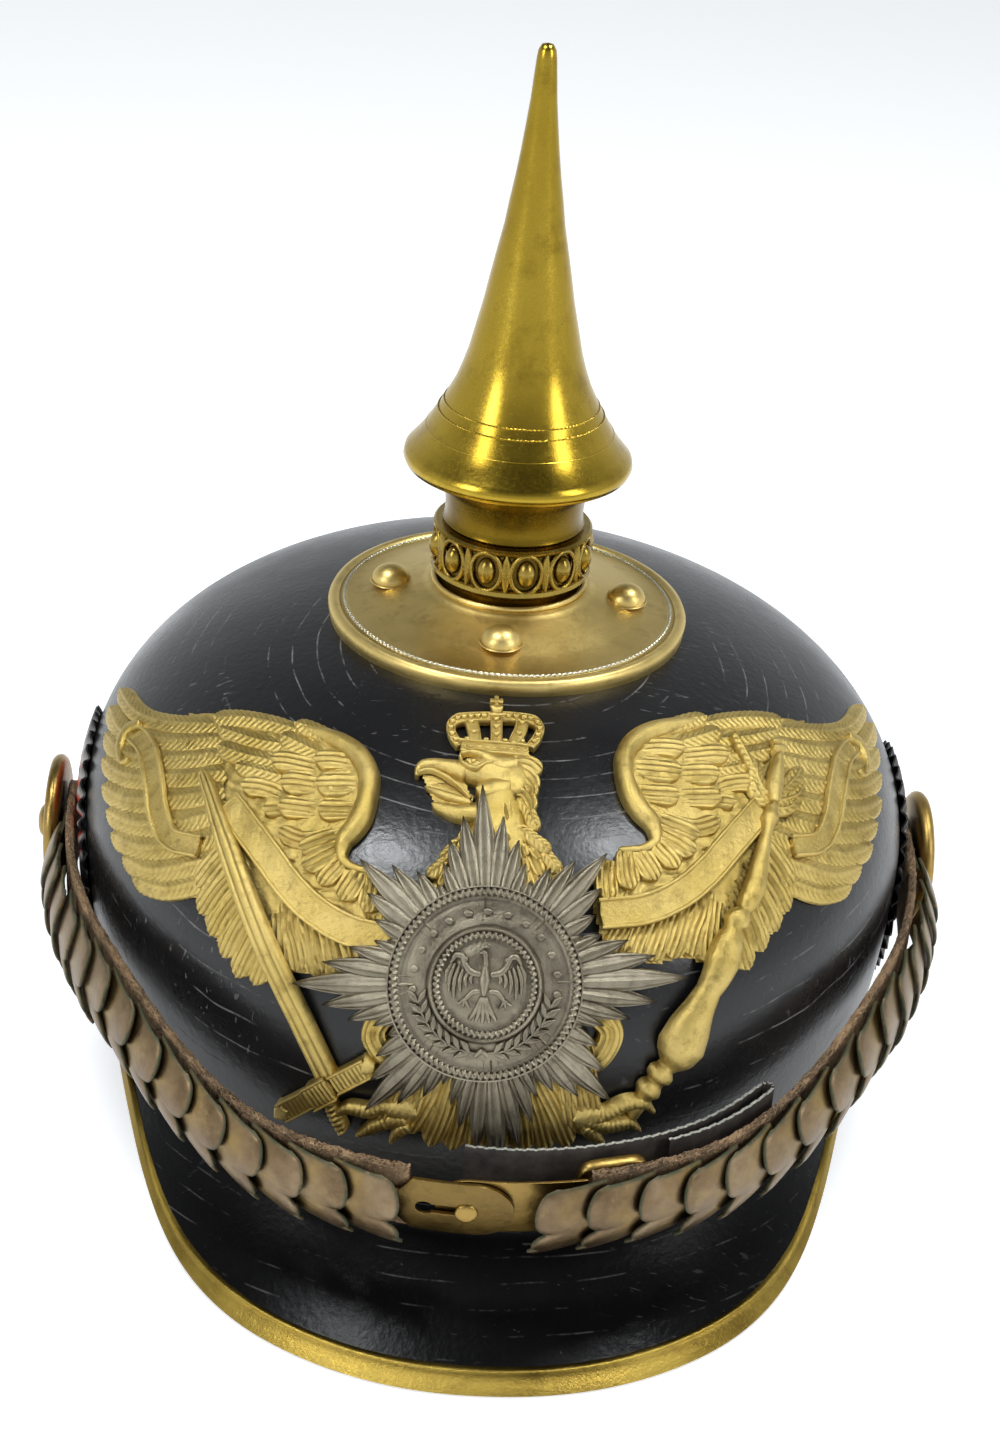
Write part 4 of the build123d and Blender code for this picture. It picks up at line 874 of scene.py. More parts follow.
def seam_stitches():
    """Sunk stitches along the brow seam of both peaks"""

    def form(s, t):
        around = (t + 1) * np.pi
        bulge = 0.32 * np.sin(np.pi * np.clip(s, 0.02, 0.98)) ** 0.5
        return np.c_[(s - 0.5) * STITCH_LONG, bulge * np.cos(around), bulge * np.sin(around)]

    places = []
    for facing, end in ((-1, FRONT_END), (1, REAR_END)):
        limit = end_turn(end, facing)
        turns = np.linspace(-limit * 0.99, limit * 0.99, 400)
        line = peak_spots(turns, np.full_like(turns, 1.75), -0.05, facing)
        line[:, 2] -= 1.6 * np.clip((np.abs(line[:, 1]) - 50) / 50, 0, 1)
        run = running(line)
        for distance in np.arange(2, run[-1] - 2, STITCH):
            spot, ahead = walk(line, run, distance), walk(line, run, distance + 0.5)
            way = Vector(ahead - spot).normalized()
            turn = Vector((1, 0, 0)).rotation_difference(way).to_matrix().to_4x4()
            places.append(Matrix.Translation(Vector(spot) * MM) @ turn)
    return joined("brow_stitches", repeated(merged(grid(6, 6, form)), places))


thread = leather_finish("waxed_thread", (0.1, 0.09, 0.07), (0.04, 0.035, 0.03), (0.015, 0.013, 0.012),
                        500, 0.3)
finished(seam_stitches(), "brow_stitches", thread, "peak_lacquer")


# Eagle plate
WING_OUTLINE = [(-87.4, 39.7), (-82.8, 36.8), (-74.9, 33.8), (-63.5, 34.5), (-55.6, 33), (-46.9, 32),
                (-35.1, 29.5), (-30.1, 24.9), (-29.2, 19.9), (-30.6, 13.7), (-34.5, 9.9), (-35.6, 6.5),
                (-32.3, 3.3), (-26.4, 2.0), (-20.0, -6.0), (-24.2, -18.3), (-35.7, -19.0), (-39.8, -17.6),
                (-51.4, -19.5), (-55.3, -16.9), (-59.6, -12.2), (-62.4, -8.3), (-63.3, -4.9), (-74.5, -4.3),
                (-79.4, -0.6), (-80.7, 2.6), (-84.6, 8.6), (-87.1, 17), (-88.9, 26.9), (-88.3, 33.8)]
LONG_FEATHERS = [
    ((-60.8, 31.6), (-73.9, 31.7), (-81.4, 33.9), (-87.0, 39.4), 2.0),
    ((-60.5, 28.9), (-71.8, 27.9), (-83.2, 29.1), (-88.9, 35.3), 2.3),
    ((-59.7, 25.7), (-70.9, 24.2), (-82.0, 24.5), (-88.7, 29.2), 2.5),
    ((-59.3, 21.7), (-70.9, 20.3), (-81.3, 20.0), (-88.3, 23.4), 2.5),
    ((-59.4, 18.1), (-69.5, 15.9), (-80.2, 15.0), (-87.4, 17.6), 2.6),
    ((-59.0, 13.8), (-68.5, 11.0), (-78.2, 10.2), (-85.6, 12.4), 2.7),
    ((-59.1, 9.0), (-67.2, 6.7), (-76.3, 5.4), (-83.9, 7.7), 2.7),
    ((-59.2, 4.7), (-66.9, 2.2), (-74.0, 0.9), (-80.6, 3.0), 2.6),
    ((-59.4, 0.8), (-65.7, -1.6), (-71.3, -2.6), (-77.9, -1.0), 2.4),
]
LOWER_FEATHERS = [
    ((-55.4, 7.1), (-57.9, 5.2), (-60.4, 2.0), (-63.1, -2.1), 2.6),
    ((-53.8, 3.7), (-56.3, 1.4), (-59.2, -2.2), (-62.2, -7.2), 2.6),
    ((-52.2, 0.0), (-54.7, -2.7), (-57.2, -6.3), (-59.7, -11.3), 2.5),
    ((-50.7, -3.3), (-52.7, -6.4), (-54.8, -10.4), (-56.8, -15.4), 2.4),
    ((-48.7, -7.0), (-50.3, -10.5), (-51.9, -14.1), (-54.0, -19.1), 2.4),
    ((-46.8, -10.2), (-47.8, -13.3), (-49.2, -16.9), (-50.2, -20.3), 2.2),
    ((-46.3, -6.0), (-45.9, -10.0), (-45.4, -14.0), (-45.6, -18.2), 2.3),
    ((-44.5, -4.0), (-44.0, -8.7), (-42.6, -12.4), (-41.5, -17.0), 2.5),
    ((-40.7, -7.0), (-39.6, -10.2), (-38.6, -13.9), (-37.3, -17.6), 2.3),
    ((-36.4, -9.1), (-35.4, -12.0), (-34.4, -15.0), (-33.2, -18.4), 2.3),
    ((-32.2, -10.0), (-31.1, -13.3), (-30.1, -16.3), (-29.1, -19.0), 2.1),
    ((-28.2, -10.9), (-27.1, -13.3), (-26.1, -15.8), (-25.1, -18.4), 2.1),
]
LONG_COVERTS = [
    ((-38.5, 25.2), (-41.8, 26.5), (-45.1, 27.7), (-48.4, 29.0), 1.9),
    ((-43.7, 30.1), (-49.7, 31.6), (-56.2, 32.4), (-63.0, 32.3), 1.8),
    ((-46.2, 27.2), (-51.2, 27.6), (-56.3, 28.6), (-61.6, 30.0), 1.6),
    ((-46.8, 23.6), (-51.3, 24.0), (-56.4, 24.9), (-61.3, 26.3), 2.0),
    ((-33.3, 27.2), (-36.9, 28.8), (-41.0, 30.4), (-45.4, 31.6), 1.6),
    ((-46.0, 20.6), (-49.0, 21.0), (-53.2, 21.8), (-57.1, 22.4), 1.7),
]
ROUND_COVERTS = [
    ((-38.4, 9.3), (-41.4, 8.3), (-44.0, 8.6), (-46.7, 9.7), 1.8),
    ((-45.2, 14.5), (-47.0, 14.3), (-48.5, 13.9), (-50.3, 13.4), 1.5),
    ((-47.3, 17.6), (-50.0, 18.2), (-52.2, 18.3), (-55.1, 18.1), 2.0),
    ((-40.5, 23.4), (-43.7, 23.6), (-46.4, 23.7), (-49.5, 23.4), 2.1),
    ((-40.0, 14.6), (-42.2, 14.5), (-44.8, 14.4), (-47.2, 14.3), 2.1),
    ((-39.9, 19.6), (-42.1, 19.6), (-44.3, 19.5), (-47.2, 19.0), 2.4),
    ((-32.2, 15.1), (-34.8, 14.6), (-36.9, 14.3), (-39.3, 13.9), 2.1),
    ((-32.0, 20.3), (-34.6, 19.9), (-37.2, 19.4), (-39.9, 18.8), 2.5),
    ((-33.0, 24.6), (-36.0, 24.6), (-38.2, 24.3), (-40.6, 23.8), 1.9),
    ((-34.2, 9.9), (-37.3, 8.6), (-39.9, 7.3), (-42.2, 6.0), 1.9),
    ((-34.8, 7.3), (-37.7, 5.5), (-39.6, 4.1), (-41.5, 2.8), 2.4),
    ((-34.3, 4.9), (-35.5, 3.1), (-36.7, 1.4), (-37.5, -0.6), 2.1),
    ((-30.7, 2.7), (-31.5, 0.8), (-32.5, -1.3), (-33.2, -3.2), 2.3),
    ((-27.7, 2.6), (-27.7, 0.0), (-27.8, -2.5), (-28.3, -5.2), 2.2),
    ((-24.0, 0.6), (-23.6, -2.0), (-23.6, -4.5), (-23.8, -7.4), 2.1),
]
SHOULDER = [(-43.7, 30.8), (-37.3, 29.0), (-32.8, 26.6), (-30.0, 23.0), (-29.6, 18.7), (-30.4, 14.6),
            (-32.0, 11.4), (-34.1, 8.6), (-34.2, 5.4), (-31.6, 3.6), (-26.2, 2.8)]
LOW_RIBBON = [(-57.8, 14.7), (-52.3, 8.7), (-48.5, 4.5), (-43.9, -0.7), (-38.5, -5.2), (-31.5, -8.6),
              (-22.4, -10.2)]
HIGH_RIBBON = [(-80.0, 28.4), (-76.9, 25.4), (-74.5, 18.8), (-72.7, 12.3), (-69.4, 7.2), (-63.0, 5.9)]
RIBBON_CURL = [(-79.6, 31.2), (-82.6, 29.9), (-84.0, 26.3), (-82.9, 22.6), (-81.2, 23.4)]


def edge_cords(path, wide, share_of, count, half, high, **settings):
    """Raised cord on both sides of a path, at a share of its half width"""
    spot, way = along_path(path, np.linspace(0, 1, count))
    aside = np.c_[-way[:, 1], way[:, 0]] * wide * share_of
    return [swell(spot + hand * aside, half, high, across=6, **settings) for hand in (-1, 1)]


def ribbon(path, wide, low, place, hatched=0.0):
    """Flat ribbon with a raised cord along both edges; the field between them stays plain"""

    def field(run, t, width):
        hatch = 0.1 * np.sin(2 * np.pi * run / 1.5) * np.clip(1 - run / (hatched + 0.01), 0, 1)
        stipple = 0.07 * np.sin(run * 9.1 + 3 * np.sin(t * 14)) * np.sin(t * 19 + np.sin(run * 5.3))
        return hatch - 0.3 * (1 - t**2) + 0.06 * np.sin(run * 0.9 + 2 * t) + stipple

    band = swell(path, wide, 0.7, low=low, power=10, carve=field, place=place, rows=0.22, across=22,
                 ends=(0.8, 0.8))
    return [band] + edge_cords(path, wide, 0.9, 13, 0.42, 0.55, low=low + 0.55, place=place, rows=0.5)


def wing_lines(side, rise):
    """Fine stamped lines that fan out from the shoulder"""
    turn = np.arctan2(rise + 2, side + 18)
    reach = np.hypot(rise + 2, side + 18)
    return 0.2 * np.sin(turn * 150 + 1.6 * np.sin(reach * 0.8)) + 0.06 * np.sin(reach * 2.1)


COVERT_OUTLINE = [(-62.5, 32.2), (-56, 32.4), (-46.9, 31.4), (-36, 28.6), (-31, 24), (-30.2, 18),
                  (-31.4, 12.5), (-34.6, 9.4), (-33, 3.3), (-27, 2.4), (-22, -3), (-24, -9.5), (-32, -7.2),
                  (-39, -4.0), (-44, 1.0), (-48.6, 6.2), (-52.6, 10.4), (-57.6, 16.2), (-59.6, 21),
                  (-60.8, 26)]


def wing(name, place):
    parts = [backing(WING_OUTLINE, 0.7, place, carve=wing_lines),
             backing(COVERT_OUTLINE, 1.7, place, 0.5, carve=wing_lines)]
    rows = ((LONG_FEATHERS, 1.18, 0.9, 0.6, 0.18, barbs),
            (LOWER_FEATHERS[::-1], 1.15, 1.2, 0.9, 0.1, fan_lines),
            (LONG_COVERTS, 1.15, 1.5, 1.5, 0.12, barbs),
            (ROUND_COVERTS, 1.12, 1.4, 2.3, 0.08, fan_lines))
    for feathers, grown, low, high, lean, carve in rows:
        parts += [feather(path, wide * grown, low, high, place, lean, carve) for *path, wide in feathers]
    parts.append(swell(SHOULDER, [0.6, 1.4, 2.0, 2.3, 2.4, 2.1, 2.3, 2.0, 1.2, 0.8, 0.7],
                       [0.8, 1.6, 2.4, 2.8, 3.0, 3.0, 2.7, 2.2, 1.5, 1.1, 0.9],
                       low=[1.8, 1.4, 0.9, 0.8, 0.8, 0.8, 0.8, 0.8, 1.0, 1.2], place=place, rows=0.4,
                       across=18, ends=(1.5, 1.0)))
    parts += ribbon(LOW_RIBBON, 2.9, 2.2, place)
    parts += ribbon(HIGH_RIBBON, 2.1, 1.8, place, hatched=11.0)
    parts.append(swell(RIBBON_CURL, [1.0, 0.9, 0.75, 0.6, 0.4], [0.9, 0.8, 0.8, 0.7, 0.6], low=1.8,
                       place=place, rows=0.3, ends=(0.8, 0.4)))
    return smooth(joined(name, parts), 60)


for name, place in (("eagle_left_wing", as_is), ("eagle_right_wing", other_wing)):
    finished(wing(name, place), name, gilt, "gilt_brass", "eagle_plate")


def head_and_body():
    trunk = [(-16.5, 2.5), (-11.9, 9.6), (-9.5, 14.6), (2.6, 15.6), (4.0, 12.4), (7.0, 8.0), (9.6, 3.5),
             (12, -6), (12, -30), (16.5, -44.5), (12.4, -48), (0.2, -49.4), (-14, -49), (-17.3, -46),
             (-16.8, -36), (-20, -10)]
    neck = [(-3.4, 20.5), (-3.0, 14.5), (-3.6, 8.0), (-4.4, 0.0)]
    parts = [backing(trunk, 0.5),
             swell(neck, [4.4, 6.0, 7.6, 11.0], [3.4, 3.0, 2.6, 2.0], low=0.4, rows=0.5, across=24)]
    # Neck and chest feathers, in rows that overlap downwards
    for row, (rise, wide) in enumerate(((12.6, 5.6), (9.4, 7.2), (6.0, 9.0), (2.6, 11.0))):
        count = 5 + row
        for index in range(count):
            part = (index + 0.5 * (row % 2)) / (count - 0.5) * 2 - 1
            side, tilt, high = neck[0][0] + part * wide, part * 1.6, 2.6 - 1.5 * abs(part)
            path = [(side - tilt * 0.5, rise + 2.6), (side - tilt * 0.1, rise + 0.9),
                    (side + tilt * 0.4, rise - 0.9), (side + tilt, rise - 2.6)]
            parts.append(feather(path, 1.45, high * 0.7 + 0.2, high, carve=fan_lines, lean=0.0))
    loose = [
        ([(-0.1, 13.4), (2.2, 12.4), (4.2, 10.6), (7.3, 8.2)], 1.5, 2.2, 1.5),
        ([(0.6, 18.9), (2.6, 17.2), (3.4, 15.2), (4.6, 12.7)], 1.5, 2.6, 1.8),
        ([(3.2, 9.8), (5.7, 8.3), (7.6, 6.2), (9.3, 4.0)], 1.5, 1.6, 1.0),
        ([(-8.0, 11.0), (-11.4, 9.6), (-13.0, 7.4), (-14.6, 5.8)], 1.4, 1.5, 1.0),
        ([(-9.5, 7.6), (-12.9, 6.0), (-15.2, 4.0), (-17.2, 2.4)], 1.5, 1.4, 0.9),
    ]
    parts += [feather(*row) for row in loose]
    # Skull, cheek and nape
    parts += [swell([(1.6, 20.0), (-0.6, 23.4), (-5.0, 25.0), (-10.6, 24.6)], [3.2, 4.6, 3.4, 2.0],
                    [3.2, 4.0, 4.0, 3.4], low=0.4, rows=0.4, across=20, ends=(3.0, 1.0)),
              swell([(-0.6, 21.6), (-4.2, 20.6), (-7.8, 20.2)], [2.6, 3.0, 2.0], [3.4, 3.8, 3.3], low=0.4,
                    rows=0.4, across=16, ends=(2.4, 1.6)),]
    nape = [[(-1.0, 25.6), (1.4, 26.3), (3.6, 25.7), (5.5, 24.0)],
            [(-0.2, 24.0), (2.0, 24.0), (3.6, 22.6), (4.3, 20.6)],
            [(0.2, 22.4), (2.0, 22.4), (3.4, 21.0), (3.6, 19.2)], [(0.4, 20.4), (2.0, 20.2), (3.2, 18.4),
                                                                   (3.4, 16.6)],
            [(-2.8, 18.6), (-2.0, 17.4), (-1.8, 16.0), (-1.4, 14.4)],
            [(-5.6, 18.0), (-5.4, 16.6), (-5.2, 15.2), (-5.0, 13.8)],]
    parts += [feather(path, 1.5, 3.0, 2.4, carve=fan_lines, lean=0.0) for path in nape]
    # Beak: hooked upper half, lower half, mouth and tongue
    beak = [(-19.4, 23.4), (-17.2, 25.4), (-10.0, 24.0), (-7.5, 17.0), (-12.0, 16.4), (-16.2, 17.4),
            (-18.4, 21.6)]
    parts += [backing(beak, 1.0, spacing=0.4), swell([(-9.4, 24.4), (-13.0, 25.0), (-16.6, 25.2),
                                                      (-19.2, 24.4), (-20.0, 22.4)],
                                                     [2.3, 1.8, 1.4, 1.1, 0.5], [3.5, 3.0, 2.6, 2.2, 1.4],
                                                     low=0.4, rows=0.25, across=14, ends=(1.0, 0.6)),
              swell([(-19.6, 23.1), (-16.7, 23.7), (-13.4, 22.4), (-10.9, 20.6), (-8.8, 18.4)], 0.4, 0.7,
                    low=[1.6, 2.0, 2.4, 2.6, 2.8], rows=0.25, across=6),
              swell([(-17.0, 21.2), (-14.0, 20.6), (-11.4, 19.4), (-8.4, 18.6)], [0.9, 1.8, 2.0, 1.4], 0.5,
                    low=[0.5, 0.9, 1.2, 1.5], rows=0.3, ends=(1.2, 0)),
              swell([(-18.2, 20.6), (-15.0, 19.6), (-11.6, 18.8), (-8.8, 18.2)], [0.35, 0.75, 0.8, 0.7],
                    [0.5, 0.8, 0.9, 0.9], low=[1.0, 1.5, 1.8, 2.0], rows=0.3, across=8, ends=(0.8, 0)),
              swell([(-16.7, 17.4), (-14.0, 16.9), (-11.0, 16.4), (-7.6, 16.4)], [0.8, 1.4, 1.8, 2.2],
                    [1.2, 1.8, 2.4, 3.0], low=0.4, rows=0.3, across=12, ends=(0.9, 0)),]
    # Eye under its brow ridge
    parts += [boss(-8.2, 24.9, 1.5, 0.95, 0.9, low=3.7, turn=-12), boss(-8.3, 24.9, 0.55, 0.5, 0.5, low=4.5)]
    brow = [(-11.0, 26.3), (-8.8, 26.9), (-6.0, 26.4), (-3.4, 25.2), (-1.0, 25.0), (0.6, 25.4)]
    lid = [(-11.1, 26.2), (-10.3, 24.5), (-7.8, 23.7), (-5.9, 24.7), (-3.8, 24.9)]
    for path, wide in ((brow, [0.35, 0.5, 0.8, 1.3, 1.5, 1.3]), (lid, [0.4, 0.35, 0.35, 0.35, 0.3])):
        parts.append(swell(path, wide, 0.9, low=3.9, rows=0.25, across=8, ends=(0.6, 0.6)))
    return parts


def crown():
    """Open crown: tapered circlet, five pearled arches, orb and cross"""
    low_line = [(-10.9, 27.7), (-7.0, 27.6), (-3.2, 27.5), (0.6, 27.3), (3.0, 27.1)]
    parts = [swell([(x, y + 1.0) for x, y in low_line], [1.25, 1.3, 1.35, 1.3, 1.25], 0.9, low=2.4, power=8,
                   rows=0.3, ends=(0.4, 0.4))]
    for rise, wide in ((0.1, 0.34), (2.15, 0.3)):
        line = [(x * (1 + 0.02 * rise), y + rise) for x, y in low_line]
        parts.append(swell(line, wide, 0.5, low=3.2, rows=0.3, across=6))
    for part in np.linspace(0.05, 0.95, 9):
        side, rise = along_path(low_line, np.array([part]))[0][0]
        parts.append(boss(side, rise + 1.1, 0.5, 0.42, 0.5, low=3.1))
    left = [(-11.0, 29.8), (-12.4, 31.4), (-13.0, 33.1), (-12.6, 34.6), (-11.2, 35.5), (-8.0, 36.0),
            (-4.7, 36.2)]
    right = [(3.4, 30.1), (4.9, 31.9), (5.6, 33.5), (5.2, 34.9), (4.0, 35.8), (1.0, 36.3), (-2.2, 36.4)]
    arches = [(left, 0.85), ([(-7.8, 29.9), (-8.0, 31.5), (-8.3, 33.4), (-8.9, 35.4)], 1.3),
              ([(-3.6, 30.1), (-3.5, 33.1), (-3.5, 36.2)], 1.2),
              ([(-0.1, 30.1), (0.7, 31.9), (1.6, 33.8), (2.0, 35.6)], 1.3), (right, 0.85)]
    for path, wide in arches:
        parts.append(swell(path, wide, 1.0, low=0.9, power=8, rows=0.3, across=8, ends=(0.4, 0.4)))
        parts += edge_cords(path, wide, 0.9, 7, 0.22, 0.4, low=1.7, rows=0.3)
        length = running(np.array(path))[-1]
        spots, _ = along_path(path, np.linspace(0.1, 0.9, max(int(length / 1.5), 3)))
        parts += [boss(x, y, 0.6, 0.6, 0.8, low=1.8) for x, y in spots]
    for side in (-9.6, -5.7, -1.8, 1.8):
        parts += [boss(side, 30.0, 1.0, 0.8, 1.0, low=1.9), boss(side, 30.9, 0.5, 0.5, 0.9, low=1.8)]
    parts.append(boss(-3.4, 37.6, 1.3, 1.1, 1.7, low=1.2))
    parts.append(swell([(-5.1, 36.7), (-3.3, 36.6), (-1.5, 36.8)], 0.4, 0.6, low=1.6, rows=0.2, across=6))
    cross = (([(-3.4, 38.2), (-3.4, 39.2), (-3.4, 40.4)], 0.6, 0.1),
             ([(-4.8, 39.3), (-3.4, 39.3), (-2.0, 39.4)], 0.7, 0.2))
    for path, first, end in cross:
        parts.append(swell(path, [first, 0.35, 0.7], 1.2, low=1.2, power=6, rows=0.15, across=6,
                           ends=(end, 0.2)))
    return parts


def legs_and_tail():
    parts = []
    # Tail fan below the star
    tips = [(-18.2, -48.6), (-14.0, -51.0), (-9.6, -51.8), (-4.8, -52.2), (0.2, -52.0), (5.0, -51.8),
            (9.6, -51.2), (14.0, -50.0), (18.6, -47.8)]
    for index, end in enumerate(tips):
        path = thirds((-3.0 + (end[0] + 1.5) * 0.42, -30.0), end, 0.3)
        parts.append(feather(path, 2.6, 1.4, 1.0 + 0.25 * (index % 2), carve=fan_lines, lean=0.1))
    # Feathered thighs
    for hand in (-1, 1):
        for row in range(4):
            for col in range(3):
                side, rise = -2.0 + hand * (13.0 + col * 2.6 + row * 0.7), -29.0 - row * 4.2 - col * 0.9
                path = [(side + hand * out, rise + up) for out, up in ((-1.2, 4), (-0.5, 1.6), (0.2, -1),
                                                                       (0.8, -3.6))]
                parts.append(feather(path, 1.7, 1.8, 1.3 + 0.2 * row, carve=fan_lines, lean=0.0))
    for path in ([(12.0, -21.5), (17.5, -22.6), (20.4, -26.0), (18.6, -31.0), (14.0, -34.5)],
                 [(-20.0, -23.0), (-24.6, -25.0), (-26.0, -28.5), (-23.5, -32.5), (-19.5, -35.0)]):
        parts.append(swell(path, [1.8, 2.6, 2.9, 2.6, 1.8], [1.4, 1.9, 2.1, 1.9, 1.4], low=0.6,
                           carve=fan_lines, rows=0.35, across=16, ends=(1.5, 1.5)))

    def scaly(run, t, wide):
        return 0.3 * np.abs(np.sin(np.pi * run))

    # Claws: left grips the sword, right grips the sceptre
    toes = [([(-19.0, -44.0), (-22.6, -43.0), (-26.4, -44.4), (-30.4, -44.2), (-33.2, -46.4)],
             [2.0, 1.8, 1.7, 1.5, 0.6]), ([(-18.6, -45.4), (-22.4, -46.4), (-25.6, -48.2), (-28.6, -50.4)],
                                          [1.9, 1.7, 1.5, 0.5]), ([(-18.0, -46.6), (-20.4, -48.8),
                                                                   (-21.6, -51.2)], [1.7, 1.5, 0.5]),
            ([(16.6, -42.6), (20.4, -43.0), (24.6, -40.8), (28.4, -40.6), (31.0, -42.8)],
             [2.0, 1.8, 1.7, 1.5, 0.6]), ([(17.0, -44.2), (21.0, -45.6), (25.6, -45.0), (28.6, -46.8)],
                                          [1.9, 1.7, 1.5, 0.5]), ([(16.6, -45.6), (19.0, -47.8),
                                                                   (21.4, -49.6)], [1.7, 1.5, 0.5]),]
    for path, wide in toes:
        high = [1.6] * (len(wide) - 1) + [0.8]
        parts.append(swell(path, wide, high, low=1.4, carve=scaly, rows=0.3, ends=(1.0, 0.4)))
    return parts + [boss(side, -43.6, 3.0, 3.2, 2.2, low=1.0) for side in (-19.5, 17.0)]


def sword():
    """Straight blade with two fullers, square block and hatched cross guard"""

    def fullers(run, t, wide):
        return -0.35 * (np.exp(-(((t - 0.36) / 0.14) ** 2)) + np.exp(-(((t + 0.36) / 0.14) ** 2)))

    blade = [(-63.6, 20.6), (-56.8, 6.4), (-49.9, -7.8), (-43.0, -21.4), (-35.0, -38.2)]
    parts = [swell(blade, [1.2, 2.15, 2.2, 2.25, 2.3], 1.6, low=[2.2, 3.0, 3.2, 2.8, 1.6, 1.0], power=4,
                   carve=fullers, rows=0.5, across=22, ends=(1.6, 0))]

    def hatch(run, t, wide):
        return 0.12 * np.sign(np.sin(2 * np.pi * run / 0.9))

    guard = [([(-43.6, -46.9), (-38.0, -42.9)], 2.3, 1.6), ([(-37.9, -42.8), (-33.4, -39.5)], 2.9, 2.4),
             ([(-33.3, -39.4), (-26.6, -34.8)], 2.3, 1.6)]
    for path, wide, high in guard:
        parts.append(swell(path, wide, high, low=1.0, power=14, carve=hatch, rows=0.22, across=12,
                           ends=(0.3, 0.3)))
        parts += edge_cords(path, wide, 0.85, 2, 0.35, 0.5, low=high + 0.9, rows=0.4)
    ends = guard[0][0][0], guard[-1][0][1]
    parts += [boss(*end, 1.6, 2.5, 2.0, low=1.0, turn=35) for end in ends]

    def wound(run, t, wide):
        return 0.2 * np.sin(2 * np.pi * run / 1.1)

    grip = [(-34.8, -42.6), (-33.0, -46.4), (-31.2, -50.0)]
    return parts + [swell(grip, [1.3, 1.6, 1.3], 1.8, low=1.0, carve=wound, rows=0.25, ends=(0.3, 0.6))]


def sceptre():
    """Turned sceptre with knobs, a pear-shaped grip and a little spread bird on its tip"""
    turns = [(53.6, 18.6, 1.1), (53.2, 16.6, 1.5), (52.9, 15.6, 1.9), (52.4, 14.2, 1.2), (51.7, 12.2, 1.1),
             (50.2, 7.5, 1.6), (48.7, 2.5, 2.2), (47.2, -0.6, 2.0), (46.2, -2.2, 1.3), (45.4, -3.2, 2.3),
             (44.6, -4.4, 2.5), (44.0, -5.6, 1.6), (43.0, -8.4, 3.0), (42.0, -11.6, 3.4), (41.0, -14.4, 2.9),
             (39.5, -17.4, 2.4), (37.9, -20.8, 3.0), (36.3, -24.5, 4.2), (35.0, -28.2, 4.8),
             (34.0, -30.8, 3.9), (33.0, -32.6, 2.0), (32.5, -33.2, 1.7), (31.8, -34.2, 2.7),
             (31.2, -35.2, 2.6), (30.6, -36.3, 1.5), (29.9, -37.3, 2.5), (29.2, -38.3, 2.6),
             (28.6, -39.4, 1.7), (27.6, -41.6, 1.6), (26.4, -44.4, 1.2)]
    line = [(side, rise) for side, rise, _ in turns]
    reach = running(np.array(line))
    wide = np.interp(np.linspace(0, reach[-1], 120), reach, [half for _, _, half in turns])
    parts = [swell(line, list(wide), list(wide * 0.8 + 0.5), low=[3.4, 3.4, 3.0, 2.6, 1.8, 1.2, 0.9],
                   rows=0.3, across=18, ends=(0.5, 0.8))]
    bird = [
        ([(52.6, 19.2), (51.2, 23.5), (49.4, 28.0), (47.0, 33.1)], 0.9),
        ([(54.4, 19.6), (52.2, 21.6), (51.0, 24.4), (51.3, 27.4)], 1.8),
        ([(55.2, 20.2), (57.0, 22.0), (59.4, 24.0), (61.6, 26.4)], 1.8),
        ([(55.0, 19.2), (57.2, 19.8), (59.8, 20.8), (61.4, 23.0)], 1.6),
        ([(54.2, 18.2), (56.0, 17.8), (58.0, 18.4), (59.4, 19.9)], 1.4),
        ([(53.6, 18.8), (52.0, 19.4), (50.6, 21.0), (49.8, 23.2)], 1.4),
    ]
    parts += [feather(path, half, 3.0, 2.6, lean=0.0) for path, half in bird]
    return parts + [swell([(54.0, 18.4), (54.6, 22.0), (55.6, 25.8), (56.2, 28.6)], [1.2, 1.9, 1.6, 1.0], 1.8,
                          low=3.4, rows=0.3, across=12, ends=(1.0, 0.6)),
                    boss(56.4, 29.6, 1.5, 1.3, 1.7, low=3.4), swell([(55.2, 31.2), (56.6, 31.4),
                                                                     (58.0, 31.2)], [0.7, 0.9, 0.7], 1.2,
                                                                    low=3.4, rows=0.2, across=8,
                                                                    ends=(0.3, 0.3)),]


plate_parts = (("eagle_body", head_and_body() + crown() + legs_and_tail()),
               ("sword_and_sceptre", sword() + sceptre()))
for name, parts in plate_parts:
    finished(smooth(joined(name, parts), 60), name, gilt, "gilt_brass", "eagle_plate")


# Star
STAR = (-4.9, -17.1)
STAR_TIPS = ((92.3, 37.7), (46.5, 33.4), (3.4, 39.2), (-40.0, 33.4), (-82.2, 39.4), (-129.8, 33.6),
             (-177.5, 36.6), (139.5, 32.8))
DISC_WIDE, DISC_TALL = 0.955, 0.89


def star_spot(reach, turn):
    return STAR[0] + reach * math.cos(math.radians(turn)), STAR[1] + reach * math.sin(math.radians(turn))


def ray_lines(run, t, wide):
    return 0.13 * np.cos(4 * np.pi * t)


